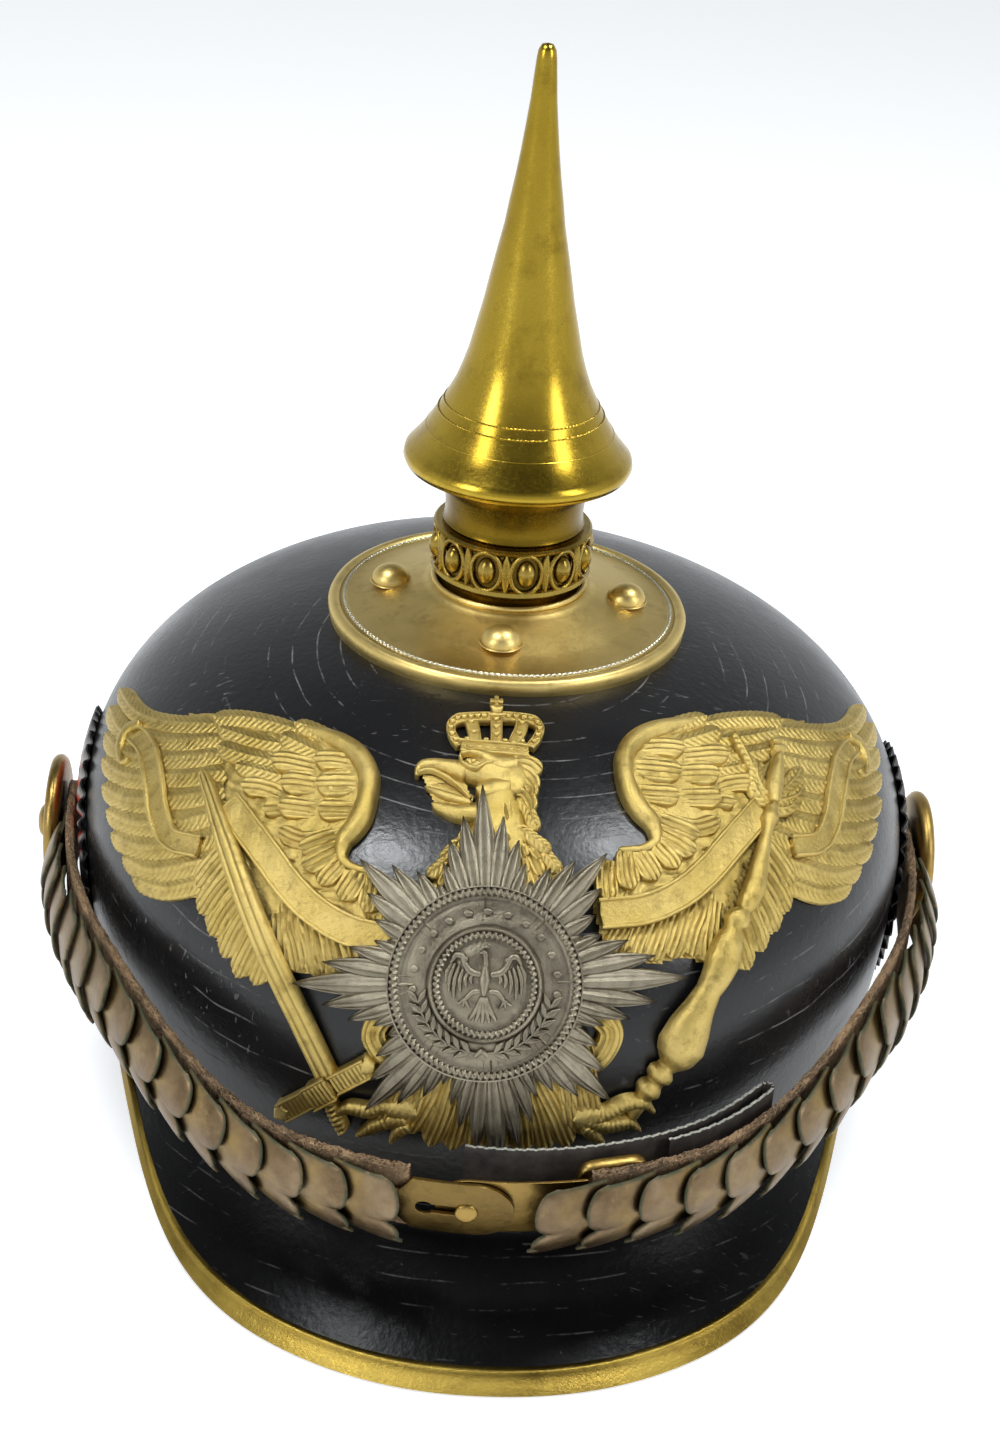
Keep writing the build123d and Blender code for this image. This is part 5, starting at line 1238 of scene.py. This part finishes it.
def star_rays():
    """Eight groups of leaf-shaped rays, the middle one of each on top"""
    parts = []
    for tip, longest in STAR_TIPS:
        for step in (-3, 3, -2, 2, -1, 1, 0):
            rank, hand = abs(step), np.sign(step)
            start = star_spot(13.5, tip + hand * (0, 5.5, 11.5, 17.5)[rank])
            end = star_spot(longest * (1.0, 0.85, 0.735, 0.62)[rank], tip + hand * (0, 7.2, 14.4, 20.2)[rank])
            grown = (2.2, 2.05, 1.85, 1.6)[rank]
            wide = [share_of * grown for share_of in (0.55, 0.7, 0.86, 0.97, 1.0, 0.93, 0.72, 0.42, 0.06)]
            high = [1.2, 1.3, 1.5, 1.6, 1.6, 1.4, 1.1, 0.7, 0.2]
            parts.append(swell(thirds(start, end), wide, high, low=3.0 + 0.3 * (3 - rank), edge=0.9,
                               power=1.2, rows=0.5, across=14, carve=ray_lines))
    return parts


def disc_form(s, t):
    reach = s * 19.4
    turn = (t + 1) * np.pi
    wide, tall = DISC_WIDE * np.cos(turn), DISC_TALL * np.sin(turn)
    table = np.array([(0, 5.7), (5.0, 5.5), (8.4, 5.1), (8.9, 5.2), (9.6, 5.3), (10.2, 5.2), (10.4, 5.7),
                      (10.8, 5.9), (11.2, 5.6), (11.5, 4.9), (13.5, 4.8), (16.6, 4.9), (17.1, 5.2),
                      (18.0, 5.3), (18.6, 5.2), (18.8, 5.7), (19.1, 5.8), (19.3, 5.3), (19.4, 3.4)])
    lift = np.interp(reach, table[:, 0], table[:, 1]) + 0.06 * np.sin(reach * 1.3 + 3 * turn) * (reach < 16)
    return seat(STAR[0] + reach * wide, STAR[1] + reach * tall, lift)


def rope_on_star(radius, lift, thick, twists):
    def form(s, t):
        turn, around = s * 2 * np.pi, (t + 1) * np.pi
        bead = thick * (1 + 0.38 * np.sin(twists * turn + 1.6 * around))
        reach = radius + bead * np.cos(around)
        side, rise = STAR[0] + reach * DISC_WIDE * np.cos(turn), STAR[1] + reach * DISC_TALL * np.sin(turn)
        return seat(side, rise, lift + bead * np.sin(around))

    return merged(grid(int(twists * 7), 8, form))


def star_middle():
    parts = [merged(grid(70, 120, disc_form)), rope_on_star(17.9, 5.5, 0.72, 92),
             rope_on_star(9.5, 5.4, 0.62, 54)]
    x, y = STAR

    def small(path, wide, high):
        line = [(x + a * DISC_WIDE, y + b * DISC_TALL) for a, b in path]
        parts.append(swell(line, wide, high, low=5.15, rows=0.2, across=8, ends=(0.3, 0.3)))

    # Little spread eagle in the middle
    small([(-0.2, 3.6), (-0.2, 1.3), (-0.2, -2.0)], [0.75, 1.35, 0.6], 1.6)
    small([(-0.1, 3.2), (-0.1, 4.8), (-0.4, 6.0), (-1.5, 5.9)], [0.8, 0.65, 0.75, 0.25], 1.3)
    small([(-0.9, 7.0), (-0.2, 7.2), (0.5, 7.0)], [0.35, 0.5, 0.35], 1.0)
    for hand in (-1, 1):
        small([(hand * 0.9, 1.9), (hand * 2.9, 2.4), (hand * 4.1, 3.8), (hand * 4.7, 5.2), (hand * 5.9, 5.4),
               (hand * 6.9, 3.9)], [0.7, 0.8, 0.75, 0.75, 0.7, 0.4], 1.2)
        small([(hand * 4.7, 5.0), (hand * 3.8, 4.9), (hand * 3.9, 4.1)], [0.4, 0.4, 0.25], 1.2)
        for root, end in (((6.6, 4.0), (7.6, 0.3)), ((6.0, 4.0), (7.0, -1.6)), ((5.2, 3.6), (6.0, -2.7)),
                          ((4.4, 3.0), (4.8, -1.6)), ((3.5, 2.3), (3.7, -0.6)), ((2.5, 1.9), (2.6, 0.1))):
            bend = ((root[0] * 0.4 + end[0] * 0.6 + 0.35) * hand, (root[1] + end[1]) / 2)
            small([(hand * root[0], root[1]), bend, (hand * end[0], end[1])], [0.4, 0.62, 0.35], 1.0)
        small([(hand * 0.7, -1.2), (hand * 2.3, -1.4), (hand * 3.8, -2.8)], [0.6, 0.65, 0.6], 1.1)
        for end in ((2.7, -4.4), (4.1, -4.6), (5.3, -3.6)):
            small([(hand * 3.8, -2.7), (hand * (end[0] * 0.5 + 2.0), end[1] * 0.5 - 1.6),
                   (hand * end[0], end[1])], [0.45, 0.4, 0.2], 1.0)
    for part in (-1, -0.5, 0, 0.5, 1):
        small([(-0.2 + part * 0.4, -2.2), (-0.2 + part * 1.3, -4.6),
               (-0.2 + part * 2.7, -7.4 + 0.5 * abs(part))], [0.45, 0.65, 0.4], 1.1)
    # Two leafy sprigs that meet at the bottom of the ring
    stem = 13.4

    def sprig(reach, angle):
        turn = math.radians(angle)
        return reach * math.sin(turn) * hand, -reach * math.cos(turn)

    for hand in (-1, 1):
        small([sprig(stem, angle) for angle in (4, 20, 38, 56, 70)], 0.25, 0.5)
        for angle in range(10, 74, 9):
            root = sprig(stem, angle)
            for reach in (stem - 1.9, stem + 1.9):
                tip = sprig(reach, angle + 11)
                small([root, ((root[0] + tip[0]) / 2, (root[1] + tip[1]) / 2), tip], [0.25, 0.75, 0.15], 0.6)
    small([(-1.3, -13.9), (0, -12.9), (1.3, -13.9)], 0.5, 0.8)
    for angle in range(-128, 129, 16):
        side, rise = DISC_WIDE * math.sin(math.radians(angle)), DISC_TALL * math.cos(math.radians(angle))
        parts.append(boss(x + 14.2 * side, y + 14.2 * rise, 0.8, 0.8, 0.7, low=4.8))
    return parts


star = smooth(joined("guard_star_body", star_rays() + star_middle()), 45)
finished(star, "guard_star_body", pewter, "grey_silver", "guard_star")


# Chinscale band
SIDE_GAP, FRONT_GAP, FRONT_HEIGHT = 3.6, 12.0, 36.5
LEVEL_TURN, RISE_TURN, FRONT_LEAN = 22.0, 36.0, 14.0


def band_height(turn):
    climb = np.clip((np.abs(turn) - LEVEL_TURN) / RISE_TURN, 0, 1)
    return FRONT_HEIGHT + (PIVOT - FRONT_HEIGHT) * (1 - np.cos(np.pi * climb)) / 2


def lean_of(turn):
    """Lean of the band out at its top, in radians"""
    return math.radians(FRONT_LEAN) * np.exp(-((np.asarray(turn) / 38) ** 4))


def band_spots(turn, grow, lift):
    """Points of the band: turn in degrees from the middle, grow off its leather, lift over its middle line"""
    turn, grow, lift = np.broadcast_arrays(np.asarray(turn, float), grow, lift)
    gap = SIDE_GAP + (FRONT_GAP - SIDE_GAP) * np.cos(np.radians(turn)) ** 2
    lean = lean_of(turn)
    off = gap + grow * np.cos(lean) + lift * np.sin(lean)
    side = (HALF_WIDTH + off) * np.sin(np.radians(turn))
    ahead = (HALF_LENGTH + off) * np.cos(np.radians(turn))
    return np.c_[side, -ahead, band_height(turn) + lift * np.cos(lean) - grow * np.sin(lean)]


line_turns = np.linspace(90, 0, 721)
band_line = band_spots(line_turns, 0.9, 0.0)
line_run = running(band_line)


def band_frame(distance, lift):
    """Matrix of a place on the right half: X along the band to the front, Z out of it"""
    spot, ahead, behind = (walk(band_line, line_run, distance + step) for step in (0, 0.4, -0.4))
    way = Vector(ahead - behind).normalized()
    out = Vector((-way.y, way.x, 0)).normalized()
    if out.x * spot[0] + out.y * spot[1] < 0:
        out = -out
    lean = float(lean_of(math.degrees(math.atan2(spot[0], -spot[1]))))
    out = (out * math.cos(lean) - Vector((0, 0, math.sin(lean)))).normalized()
    across = out.cross(way)
    turn = Matrix((way, across, out)).transposed().to_4x4()
    return Matrix.Translation(Vector(spot) * MM + out * lift * MM) @ turn


SCALE_LENGTH, SCALE_HALF, SCALE_ARCH, SCALE_WALL = 15.6, 10.0, 3.0, 0.7
FIRST_SCALE, SCALE_TILT, LUG_FACE, ROSETTE_FACE = 16.3, -6.5, 101.5, 101.9
LOBES = ((-4.6, 5.4), (4.1, 3.3), (8.7, 1.3))


def scale_form(s, t):
    """One scale: arched across, with a large lobe and two smaller ones at its end"""
    across = t * SCALE_HALF
    reach = np.full_like(across, SCALE_LENGTH - 5.0)
    for centre, radius in LOBES:
        part = np.clip(1 - ((across - centre) / radius) ** 2, 0, None)
        lobe = SCALE_LENGTH - radius * 0.85 * (1 - np.sqrt(part)) - (5.4 - radius) * 0.22
        reach = np.where(part > 0, np.maximum(reach, lobe), reach)
    along = reach * s
    lift = 0.8 + SCALE_ARCH * (1 - np.abs(t) ** 2.3) + 0.35 * np.sin(np.pi * s)
    lift = lift - 0.35 * np.clip((s - 0.86) / 0.14, 0, 1) ** 2
    return np.c_[along, across, lift]


def lug_form(s, t):
    """Round lug under the rosette, with a tongue that runs to the first scale"""
    radius, tongue = 10.0, 17.5
    ahead = (radius + tongue) * s - tongue
    round_half = np.sqrt(np.clip(radius**2 - ahead**2, 0, None))
    half = np.where(ahead < 0, radius - 3 * np.clip(-ahead / 9, 0, 1), round_half)
    return np.c_[LUG_FACE - 0.5 * np.abs(t) ** 4, ahead, PIVOT + half * t]


def chin_half(count, pitch, side):
    """One half of the chinscales; each scale differs a little in seat and tilt"""
    chance = np.random.default_rng(5)
    places = []
    for index in range(count):
        wobble = chance.uniform(-1, 1, 3)
        tilt = Matrix.Rotation(math.radians(SCALE_TILT + 0.7 * wobble[0]), 4, "Y")
        yaw = Matrix.Rotation(math.radians(1.4 * wobble[1]), 4, "Z")
        places.append(band_frame(FIRST_SCALE + index * pitch + 0.25 * wobble[2], 0.3) @ tilt @ yaw)
    pattern = eased(walled(grid(22, 42, scale_form), SCALE_WALL), 0.16, 50)
    whole = joined("scales", repeated(pattern, places) + [walled(grid(26, 24, lug_form), SCALE_WALL)])
    if side < 0:
        whole.data.transform(MIRROR)
        whole.data.flip_normals()
    return smooth(whole, 45)


def leather_half(side):
    """Raw leather behind the scales: frayed along its upper edge, round at the rosette"""
    section = np.array([(-0.9, -8.4), (-0.95, 0.0), (-1.0, 6.0), (-1.15, 8.6), (-0.85, 9.7), (0.0, 10.1),
                        (0.75, 9.7), (0.9, 8.6), (0.85, 0.0), (0.85, -7.6), (0.6, -8.5), (-0.5, -8.6),
                        (-0.9, -8.4)])
    first, tongue = 9.5, 5.5
    chance = np.random.default_rng(11)

    def form(s, t):
        grow, lift = walk(section, np.arange(len(section)), (t + 1) / 2 * (len(section) - 1)).T
        run = first + s * (90 - first + tongue)
        past = np.clip(run - 90, 0, tongue) / tongue
        half = np.sqrt(np.clip(1 - past**2, 0.0004, 1))
        frayed = chance.normal(0, 1, len(s)) * 0.09
        wavy = 0.22 * np.sin(run * 1.9) + 0.16 * np.sin(run * 4.7 + 1) + 0.12 * np.sin(run * 11.3)
        upper = np.clip((lift - 7) / 3, 0, 1)
        spots = band_spots(np.minimum(run, 90), grow + frayed * (0.3 + upper),
                           lift * half + (wavy + frayed * 3) * upper)
        spots[:, 1] += past * 8.5
        spots[:, 0] *= side
        return spots

    return smooth(merged(outside_out(grid(520, 48, form))), 70)


BAND_HALVES = (("right", 1, 15, 9.9), ("left", -1, 14, 9.7))
for name, side, count, pitch in BAND_HALVES:
    finished(chin_half(count, pitch, side), "scales_" + name, scale_metal, "scale_brass",
             "chinscales_" + name, body="chinscale_band")
for name, side, _, _ in BAND_HALVES:
    finished(leather_half(side), "leather_" + name, raw_leather, "strap_leather", "backing_strap_" + name,
             body="chinscale_band")


# End plates and hook stud
def plate_form(start, stop, half_at, near, arch):
    """Plate between two turns: half_at gives its half height, arch its rounding across"""

    def form(s, t):
        turn = start + (stop - start) * s
        half = half_at(turn)
        grow = near - arch * np.abs(t * half / 9.1) ** 2.4
        return band_spots(turn, grow, half * t)

    return form


def key_half(turn):
    tip = np.sqrt(np.clip(1 - np.clip((turn + 2.6) / 4.3, 0, 1) ** 2, 0.002, 1))
    root = 4.4 + 3.7 * np.clip((turn + 10.6) / 1.4, 0, 1)
    return root * tip


def carved(piece, tools):
    """Cut closed pieces out of another one"""
    for tool in tools:
        modified(piece, "BOOLEAN", operation="DIFFERENCE", object=tool)
        bpy.data.objects.remove(tool)
    return piece


def rod(radius, length, place):
    put_down()
    bpy.ops.mesh.primitive_cylinder_add(vertices=40, radius=radius * MM, depth=length * MM,
                                        location=[value * MM for value in place],
                                        rotation=(math.pi / 2, 0, 0))
    bpy.ops.object.transform_apply(location=True, rotation=True, scale=True)
    return bpy.context.object


HOOK = band_spots(np.array([-3.4]), 1.2, 0.0)[0]
KEY_SLOT, SLOT_WIDTH, KEY_HOLE, NECK_HOLE, CUT_DEPTH = 8.4, 2.5, 1.9, 1.25, 12


def key_plate():
    piece = outside_out(walled(grid(60, 36, plate_form(-15.4, 1.7, key_half, 2.2, 0.9)), 0.8))
    put_down()
    bpy.ops.mesh.primitive_cube_add(size=1, location=((HOOK[0] - KEY_SLOT / 2) * MM, HOOK[1] * MM,
                                                      HOOK[2] * MM))
    slot = bpy.context.object
    slot.scale = (KEY_SLOT * MM, CUT_DEPTH * MM, SLOT_WIDTH * MM)
    bpy.ops.object.transform_apply(location=True, rotation=True, scale=True)
    hole = rod(KEY_HOLE, CUT_DEPTH, (HOOK[0] - KEY_SLOT, HOOK[1], HOOK[2]))
    carved(piece, [slot, hole, rod(NECK_HOLE, CUT_DEPTH, HOOK)])
    return smooth(eased(piece, 0.12, 40), 40)


finished(key_plate(), "keyhole_end", shaded_key_brass, "copper_brass", "keyhole_plate", body="chinscale_band")


def stud_half(turn):
    return np.full_like(turn, 8.1) * np.sqrt(np.clip(1 - np.clip((-turn - 3.2) / 3.6, 0, 1) ** 2, 0.01, 1))


stud_end = walled(grid(60, 36, plate_form(-6.7, 9.2, stud_half, 0.95, 0.7)), 0.6)
stud_end = smooth(outside_out(eased(stud_end, 0.12, 40)), 40)
finished(stud_end, "stud_end", copper_brass, "copper_brass", "stud_plate", body="chinscale_band")


def hook_button():
    """Round button on a thin neck"""
    rings = [(1.0, -3.2), (1.0, 0.9), (2.1, 0.95), (2.35, 1.2), (2.35, 1.5), (2.1, 1.85), (1.4, 2.05),
             (0.01, 2.1)]
    piece = turned("hook_button", [(0.01, -3.2)] + rings, 48)
    tip = Matrix.Rotation(math.radians(90), 4, "X")
    piece.data.transform(Matrix.Translation(Vector(HOOK) * MM) @ tip)
    return smooth(piece, 40)


finished(hook_button(), "hook_button", copper_brass, "copper_brass", "hook_stud", body="chinscale_band")


# Thin strap and buckle behind the right half
def thin_strap():
    """Thin leather strap: inner leg, a loop at its far end and a short leg back; its cut edges are pale"""
    inner, outer, thick, half, middle, fold, back = -4.3, -1.9, 0.8, 6, 5.2, 33, 19
    legs = []
    for turn in np.linspace(-4, fold, 75):
        legs.append((turn, inner + min(0.5 * math.sin(math.radians(turn * 9)), 0.15)))
    for around in np.radians(np.linspace(0, 180, 13)[1:-1]):
        legs.append((fold + 0.62 * math.sin(around),
                     (inner + outer) / 2 - (outer - inner) / 2 * math.cos(around)))
    legs = np.array(legs + [(turn, outer) for turn in np.linspace(fold, back, 28)])
    ring = [(-0.5, -0.98), (-0.38, -1.0), (0.38, -1.0), (0.5, -0.98), (0.5, 0.97), (0.36, 1.0), (-0.36, 1.0),
            (-0.5, 0.97), (-0.5, -0.98)]
    flat = band_spots(legs[:, 0], legs[:, 1], 0.0)
    way = np.gradient(flat[:, :2], axis=0)
    way /= np.linalg.norm(way, axis=1)[:, None]

    def form(s, t):
        where = s * (len(legs) - 1)
        spot, (dx, dy), (turn, _) = (walk(line, np.arange(len(legs)), where).T for line in (flat, way, legs))
        off, rise = walk(ring, np.arange(len(ring)), (t + 1) / 2 * (len(ring) - 1)).T
        ragged = 0.12 * np.sin(where * 2.3) + 0.1 * np.sin(where * 5.1)
        rise = rise * half + middle + ragged * (rise > 0)
        return np.c_[spot[0] + dy * off * thick, spot[1] - dx * off * thick, band_height(turn) + rise]

    return smooth(outside_out(merged(grid(300, 33, form))), 60)


def edge_leather():
    """Dark leather whose cut upper edge is pale"""
    made = Finish("thin_leather")
    facing = made.split(made.node("ShaderNodeNewGeometry").outputs["Normal"])
    grain = made.noise(1300, 6, 0.75)
    dark = made.mix(made.grey(made.noise(160, 6, 0.7), 0.4, 0.7, 0, 1), (0.02, 0.017, 0.015),
                    (0.07, 0.055, 0.045))
    pale = made.mix(made.grey(grain, 0.35, 0.65, 0, 1), (0.2, 0.2, 0.17), (0.5, 0.5, 0.44))
    tone = made.mix(made.grey(facing["Z"], 0.6, 0.8, 0, 1), dark, pale)
    return made.set(colour=tone, rough=0.75, normal=made.bump(grain, 0.5, 0.0004))


finished(thin_strap(), "thin_strap", edge_leather(), "thin_leather", "adjusting_strap", body="chinscale_band")


def buckle_loop():
    """Rounded rectangle of flat wire"""
    half, wire, squareness = 7.5, 2.4, 5.0

    def form(s, t):
        turn = s * 2 * np.pi
        cos, sin = np.cos(turn), np.sin(turn)
        reach = (np.abs(cos) ** squareness + np.abs(sin) ** squareness) ** (-1 / squareness)
        around = (t + 1) * np.pi
        wide = np.sign(np.cos(around)) * np.abs(np.cos(around)) ** 0.5
        deep = np.sign(np.sin(around)) * np.abs(np.sin(around)) ** 0.5
        out = half - wire / 2 + wire / 2 * wide
        return np.c_[reach * cos * out, reach * sin * out - 2.5, wire / 2 + wire / 2 * deep]

    piece = outside_out(merged(grid(160, 16, form)))
    distance = line_run[-1] - (HALF_WIDTH + FRONT_GAP) * math.sin(math.radians(12.5))
    piece.data.transform(band_frame(distance, -1.8 - 0.3 - wire))
    return smooth(piece, 50)


finished(buckle_loop(), "buckle_loop", copper_brass, "copper_brass", "buckle_frame", body="chinscale_band")


# Cockades, rosettes and side studs
def pleated(side):
    """Pleated disc bent along the lacquer"""
    hub, rim, pleats = 2.2, 28.0, 36

    def form(s, t):
        turn = t * np.pi
        wave = np.cos(pleats * turn)
        reach = hub + (rim - hub) * s - 0.75 * (1 - wave) * s**6
        ahead, rise = reach * np.cos(turn), PIVOT + reach * np.sin(turn)
        size = np.where(rise < 113, share(np.minimum(rise, 112.0)), 0)
        plan = np.clip(size**2 - (ahead / HALF_LENGTH) ** 2, 0, None)
        lift = 1.25 + 0.62 * wave * np.clip((s - 0.25) * 3, 0, 1)
        return np.c_[HALF_WIDTH * np.sqrt(plan) + lift, ahead, rise]

    piece = walled(merged(grid(30, 432, form)), 0.45, offset=0.0)
    if side < 0:
        piece.data.transform(MIRROR)
    return smooth(outside_out(piece), 50)


def rosette(side):
    """Stepped boss with rolled rim, fluted dish and domed middle"""
    profile = [(0.01, -1.0), (1.9, -1.0), (2.0, 0.0), (14.2, 0.0), (15.2, 0.35), (15.9, 1.1), (16.0, 1.8),
               (15.8, 2.6), (15.2, 3.2), (14.3, 3.4), (13.4, 3.2), (12.7, 2.6), (12.2, 2.1), (11.4, 2.4),
               (10.8, 3.1), (10.1, 3.5), (9.3, 3.3), (8.6, 2.7), (8.0, 2.5), (7.3, 2.8), (6.6, 3.4),
               (5.6, 3.7), (4.9, 3.4), (4.75, 3.5), (4.6, 4.1), (4.1, 5.0), (3.2, 5.8), (2.1, 6.2),
               (1.0, 6.38), (0.01, 6.4)]
    piece = turned("rosette", profile, 96)
    tip = Matrix.Rotation(math.radians(90), 4, "Y")
    piece.data.transform(Matrix.Translation(Vector((ROSETTE_FACE, 0, PIVOT)) * MM) @ tip)
    if side < 0:
        piece.data.transform(MIRROR)
        piece.data.flip_normals()
    return smooth(piece, 60)


for name, side, paint in (("right", 1, cockade_right_paint), ("left", -1, cockade_left_paint)):
    finished(pleated(side), "pleats_" + name, paint, "cockade_" + name, "cockade_" + name)
    finished(rosette(side), "boss_" + name, copper_brass, "copper_brass", "rosette_" + name)


def side_stud_heads():
    """Domed studs low on both sides"""
    height, reach, sunk = 21.0, 35.0, 0.3
    size = float(share(height))
    side = HALF_WIDTH * size * math.sqrt(1 - (reach / (HALF_LENGTH * size)) ** 2)
    places = []
    for hand in (-1, 1):
        spot = np.array([[hand * side, -reach, height]])
        normal = Vector(outward(spot)[0])
        turn = Vector((0, 0, 1)).rotation_difference(normal).to_matrix().to_4x4()
        places.append(Matrix.Translation((Vector(spot[0]) + normal * sunk) * MM) @ turn)
    return joined("side_stud_heads", repeated(dome_head("stud", 4.2, 3.4, leg=1.0), places))


finished(side_stud_heads(), "side_stud_heads", olive, "olive_brass", "side_studs")


# Finishes of the solids that stay
kept = {
    "front_peak_lining": lining_leather, "rear_peak_lining": lining_leather, "sweatband": sweat_leather,
    "crown_lining": lining_cloth, "socket_bush": olive, "spike_plug": steel, "buckle_prong": steel,
    "eagle_posts": steel, "star_post": steel, "plate_nuts": steel, "rosette_nuts": steel,
    "rear_spine": trim_brass, "spine_studs": olive, "vent_slide": trim_brass,
}
for node, finish in kept.items():
    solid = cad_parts[node]
    solid.data.materials.clear()
    solid.data.materials.append(finish)


# Camera
TILT, TURN, ROLL = math.radians(28.6), math.radians(-3.38), math.radians(4.17)
CAMERA_REACH, LENS = 546.0, 59.92
TARGET = Vector((-0.7, -16.5, 91.5))
back = Vector((math.sin(TURN) * math.cos(TILT), -math.cos(TURN) * math.cos(TILT), math.sin(TILT)))
right = Vector((0, 0, 1)).cross(back).normalized()
up = back.cross(right)
tilted_right = right * math.cos(ROLL) + up * math.sin(ROLL)
tilted_up = up * math.cos(ROLL) - right * math.sin(ROLL)
eye = TARGET + back * CAMERA_REACH
camera_data = bpy.data.cameras.new("camera")
camera_data.sensor_fit = "VERTICAL"
camera_data.sensor_height = 36
camera_data.lens = LENS
camera_data.clip_start = 0.02
camera = bpy.data.objects.new("camera", camera_data)
facing = Matrix((tilted_right, tilted_up, back)).transposed().to_4x4()
camera.matrix_world = Matrix.Translation(eye * MM) @ facing
bpy.context.scene.collection.objects.link(camera)
bpy.context.scene.camera = camera


# Floor
def floor_finish():
    """Bright paper that fades to a cooler grey far behind"""
    made = Finish("seamless_paper")
    tone = made.steps(made.split(made.where)["Y"], (0.0, (0.69, 0.69, 0.69)), (1.0, (0.65, 0.665, 0.69)))
    glow = made.grey(made.length(made.where), 0.17, 0.95, 0.02, 0.6)
    path = made.node("ShaderNodeLightPath").outputs
    mirrored = made.math("MAXIMUM", path["Is Glossy Ray"], path["Is Transmission Ray"])
    glow = made.times(glow, made.math("MAXIMUM", path["Is Camera Ray"], mirrored))
    made.shader.inputs["Emission Color"].default_value = (0.93, 0.96, 1, 1)
    made.link(glow, made.shader.inputs["Emission Strength"])
    return made.set(colour=tone, rough=0.9, specular=0.1)


put_down()
bpy.ops.mesh.primitive_plane_add(size=12, location=(0, 3, -0.0002))
floor = bpy.context.object
floor.name = "floor"
floor.data.materials.append(floor_finish())

# World
world = bpy.data.worlds.new("studio")
bpy.context.scene.world = world
world.use_nodes = True
air = world.node_tree
room = air.nodes["Background"]
room.inputs["Strength"].default_value = 1.0
height = air.nodes.new("ShaderNodeSeparateXYZ")
air.links.new(air.nodes.new("ShaderNodeTexCoord").outputs["Generated"], height.inputs[0])
sky = air.nodes.new("ShaderNodeValToRGB")
SKY = ((0.0, 0.85), (0.3, 0.7), (0.52, 0.36), (0.72, 0.1), (1.0, 0.06))
while len(sky.color_ramp.elements) < len(SKY):
    sky.color_ramp.elements.new(0.5)
for stop, (place, level) in zip(sky.color_ramp.elements, SKY):
    stop.position = place
    stop.color = (level * 0.95, level * 0.98, level, 1)
air.links.new(height.outputs["Z"], sky.inputs["Fac"])
air.links.new(sky.outputs["Color"], room.inputs["Color"])


# Lamps, as name, place, width and height in metres, power and colour
LAMP_AIM = Vector((0, 0, 0.1))
LAMPS = (
    ("left_high", (-0.36, -0.12, 1.05), (0.2, 0.2), 5.0, (0.95, 0.98, 1)),
    ("right_high", (0.4, 0.02, 1.03), (0.2, 0.2), 5.0, (0.95, 0.98, 1)),
    ("left_front", (-0.95, -0.75, 0.75), (0.3, 0.6), 5.0, (1, 1, 1)),
    ("right_front", (0.95, -0.6, 0.7), (0.3, 0.6), 4.0, (1, 1, 1)),
)
for name, place, size, power, tint in LAMPS:
    lamp = bpy.data.lights.new(name, "AREA")
    lamp.shape = "RECTANGLE"
    lamp.size, lamp.size_y = size
    lamp.energy = power
    lamp.color = tint
    holder = bpy.data.objects.new(name, lamp)
    holder.location = place
    holder.rotation_euler = (LAMP_AIM - Vector(place)).to_track_quat("-Z", "Y").to_euler()
    bpy.context.scene.collection.objects.link(holder)

bpy.context.scene.view_settings.view_transform = "Standard"
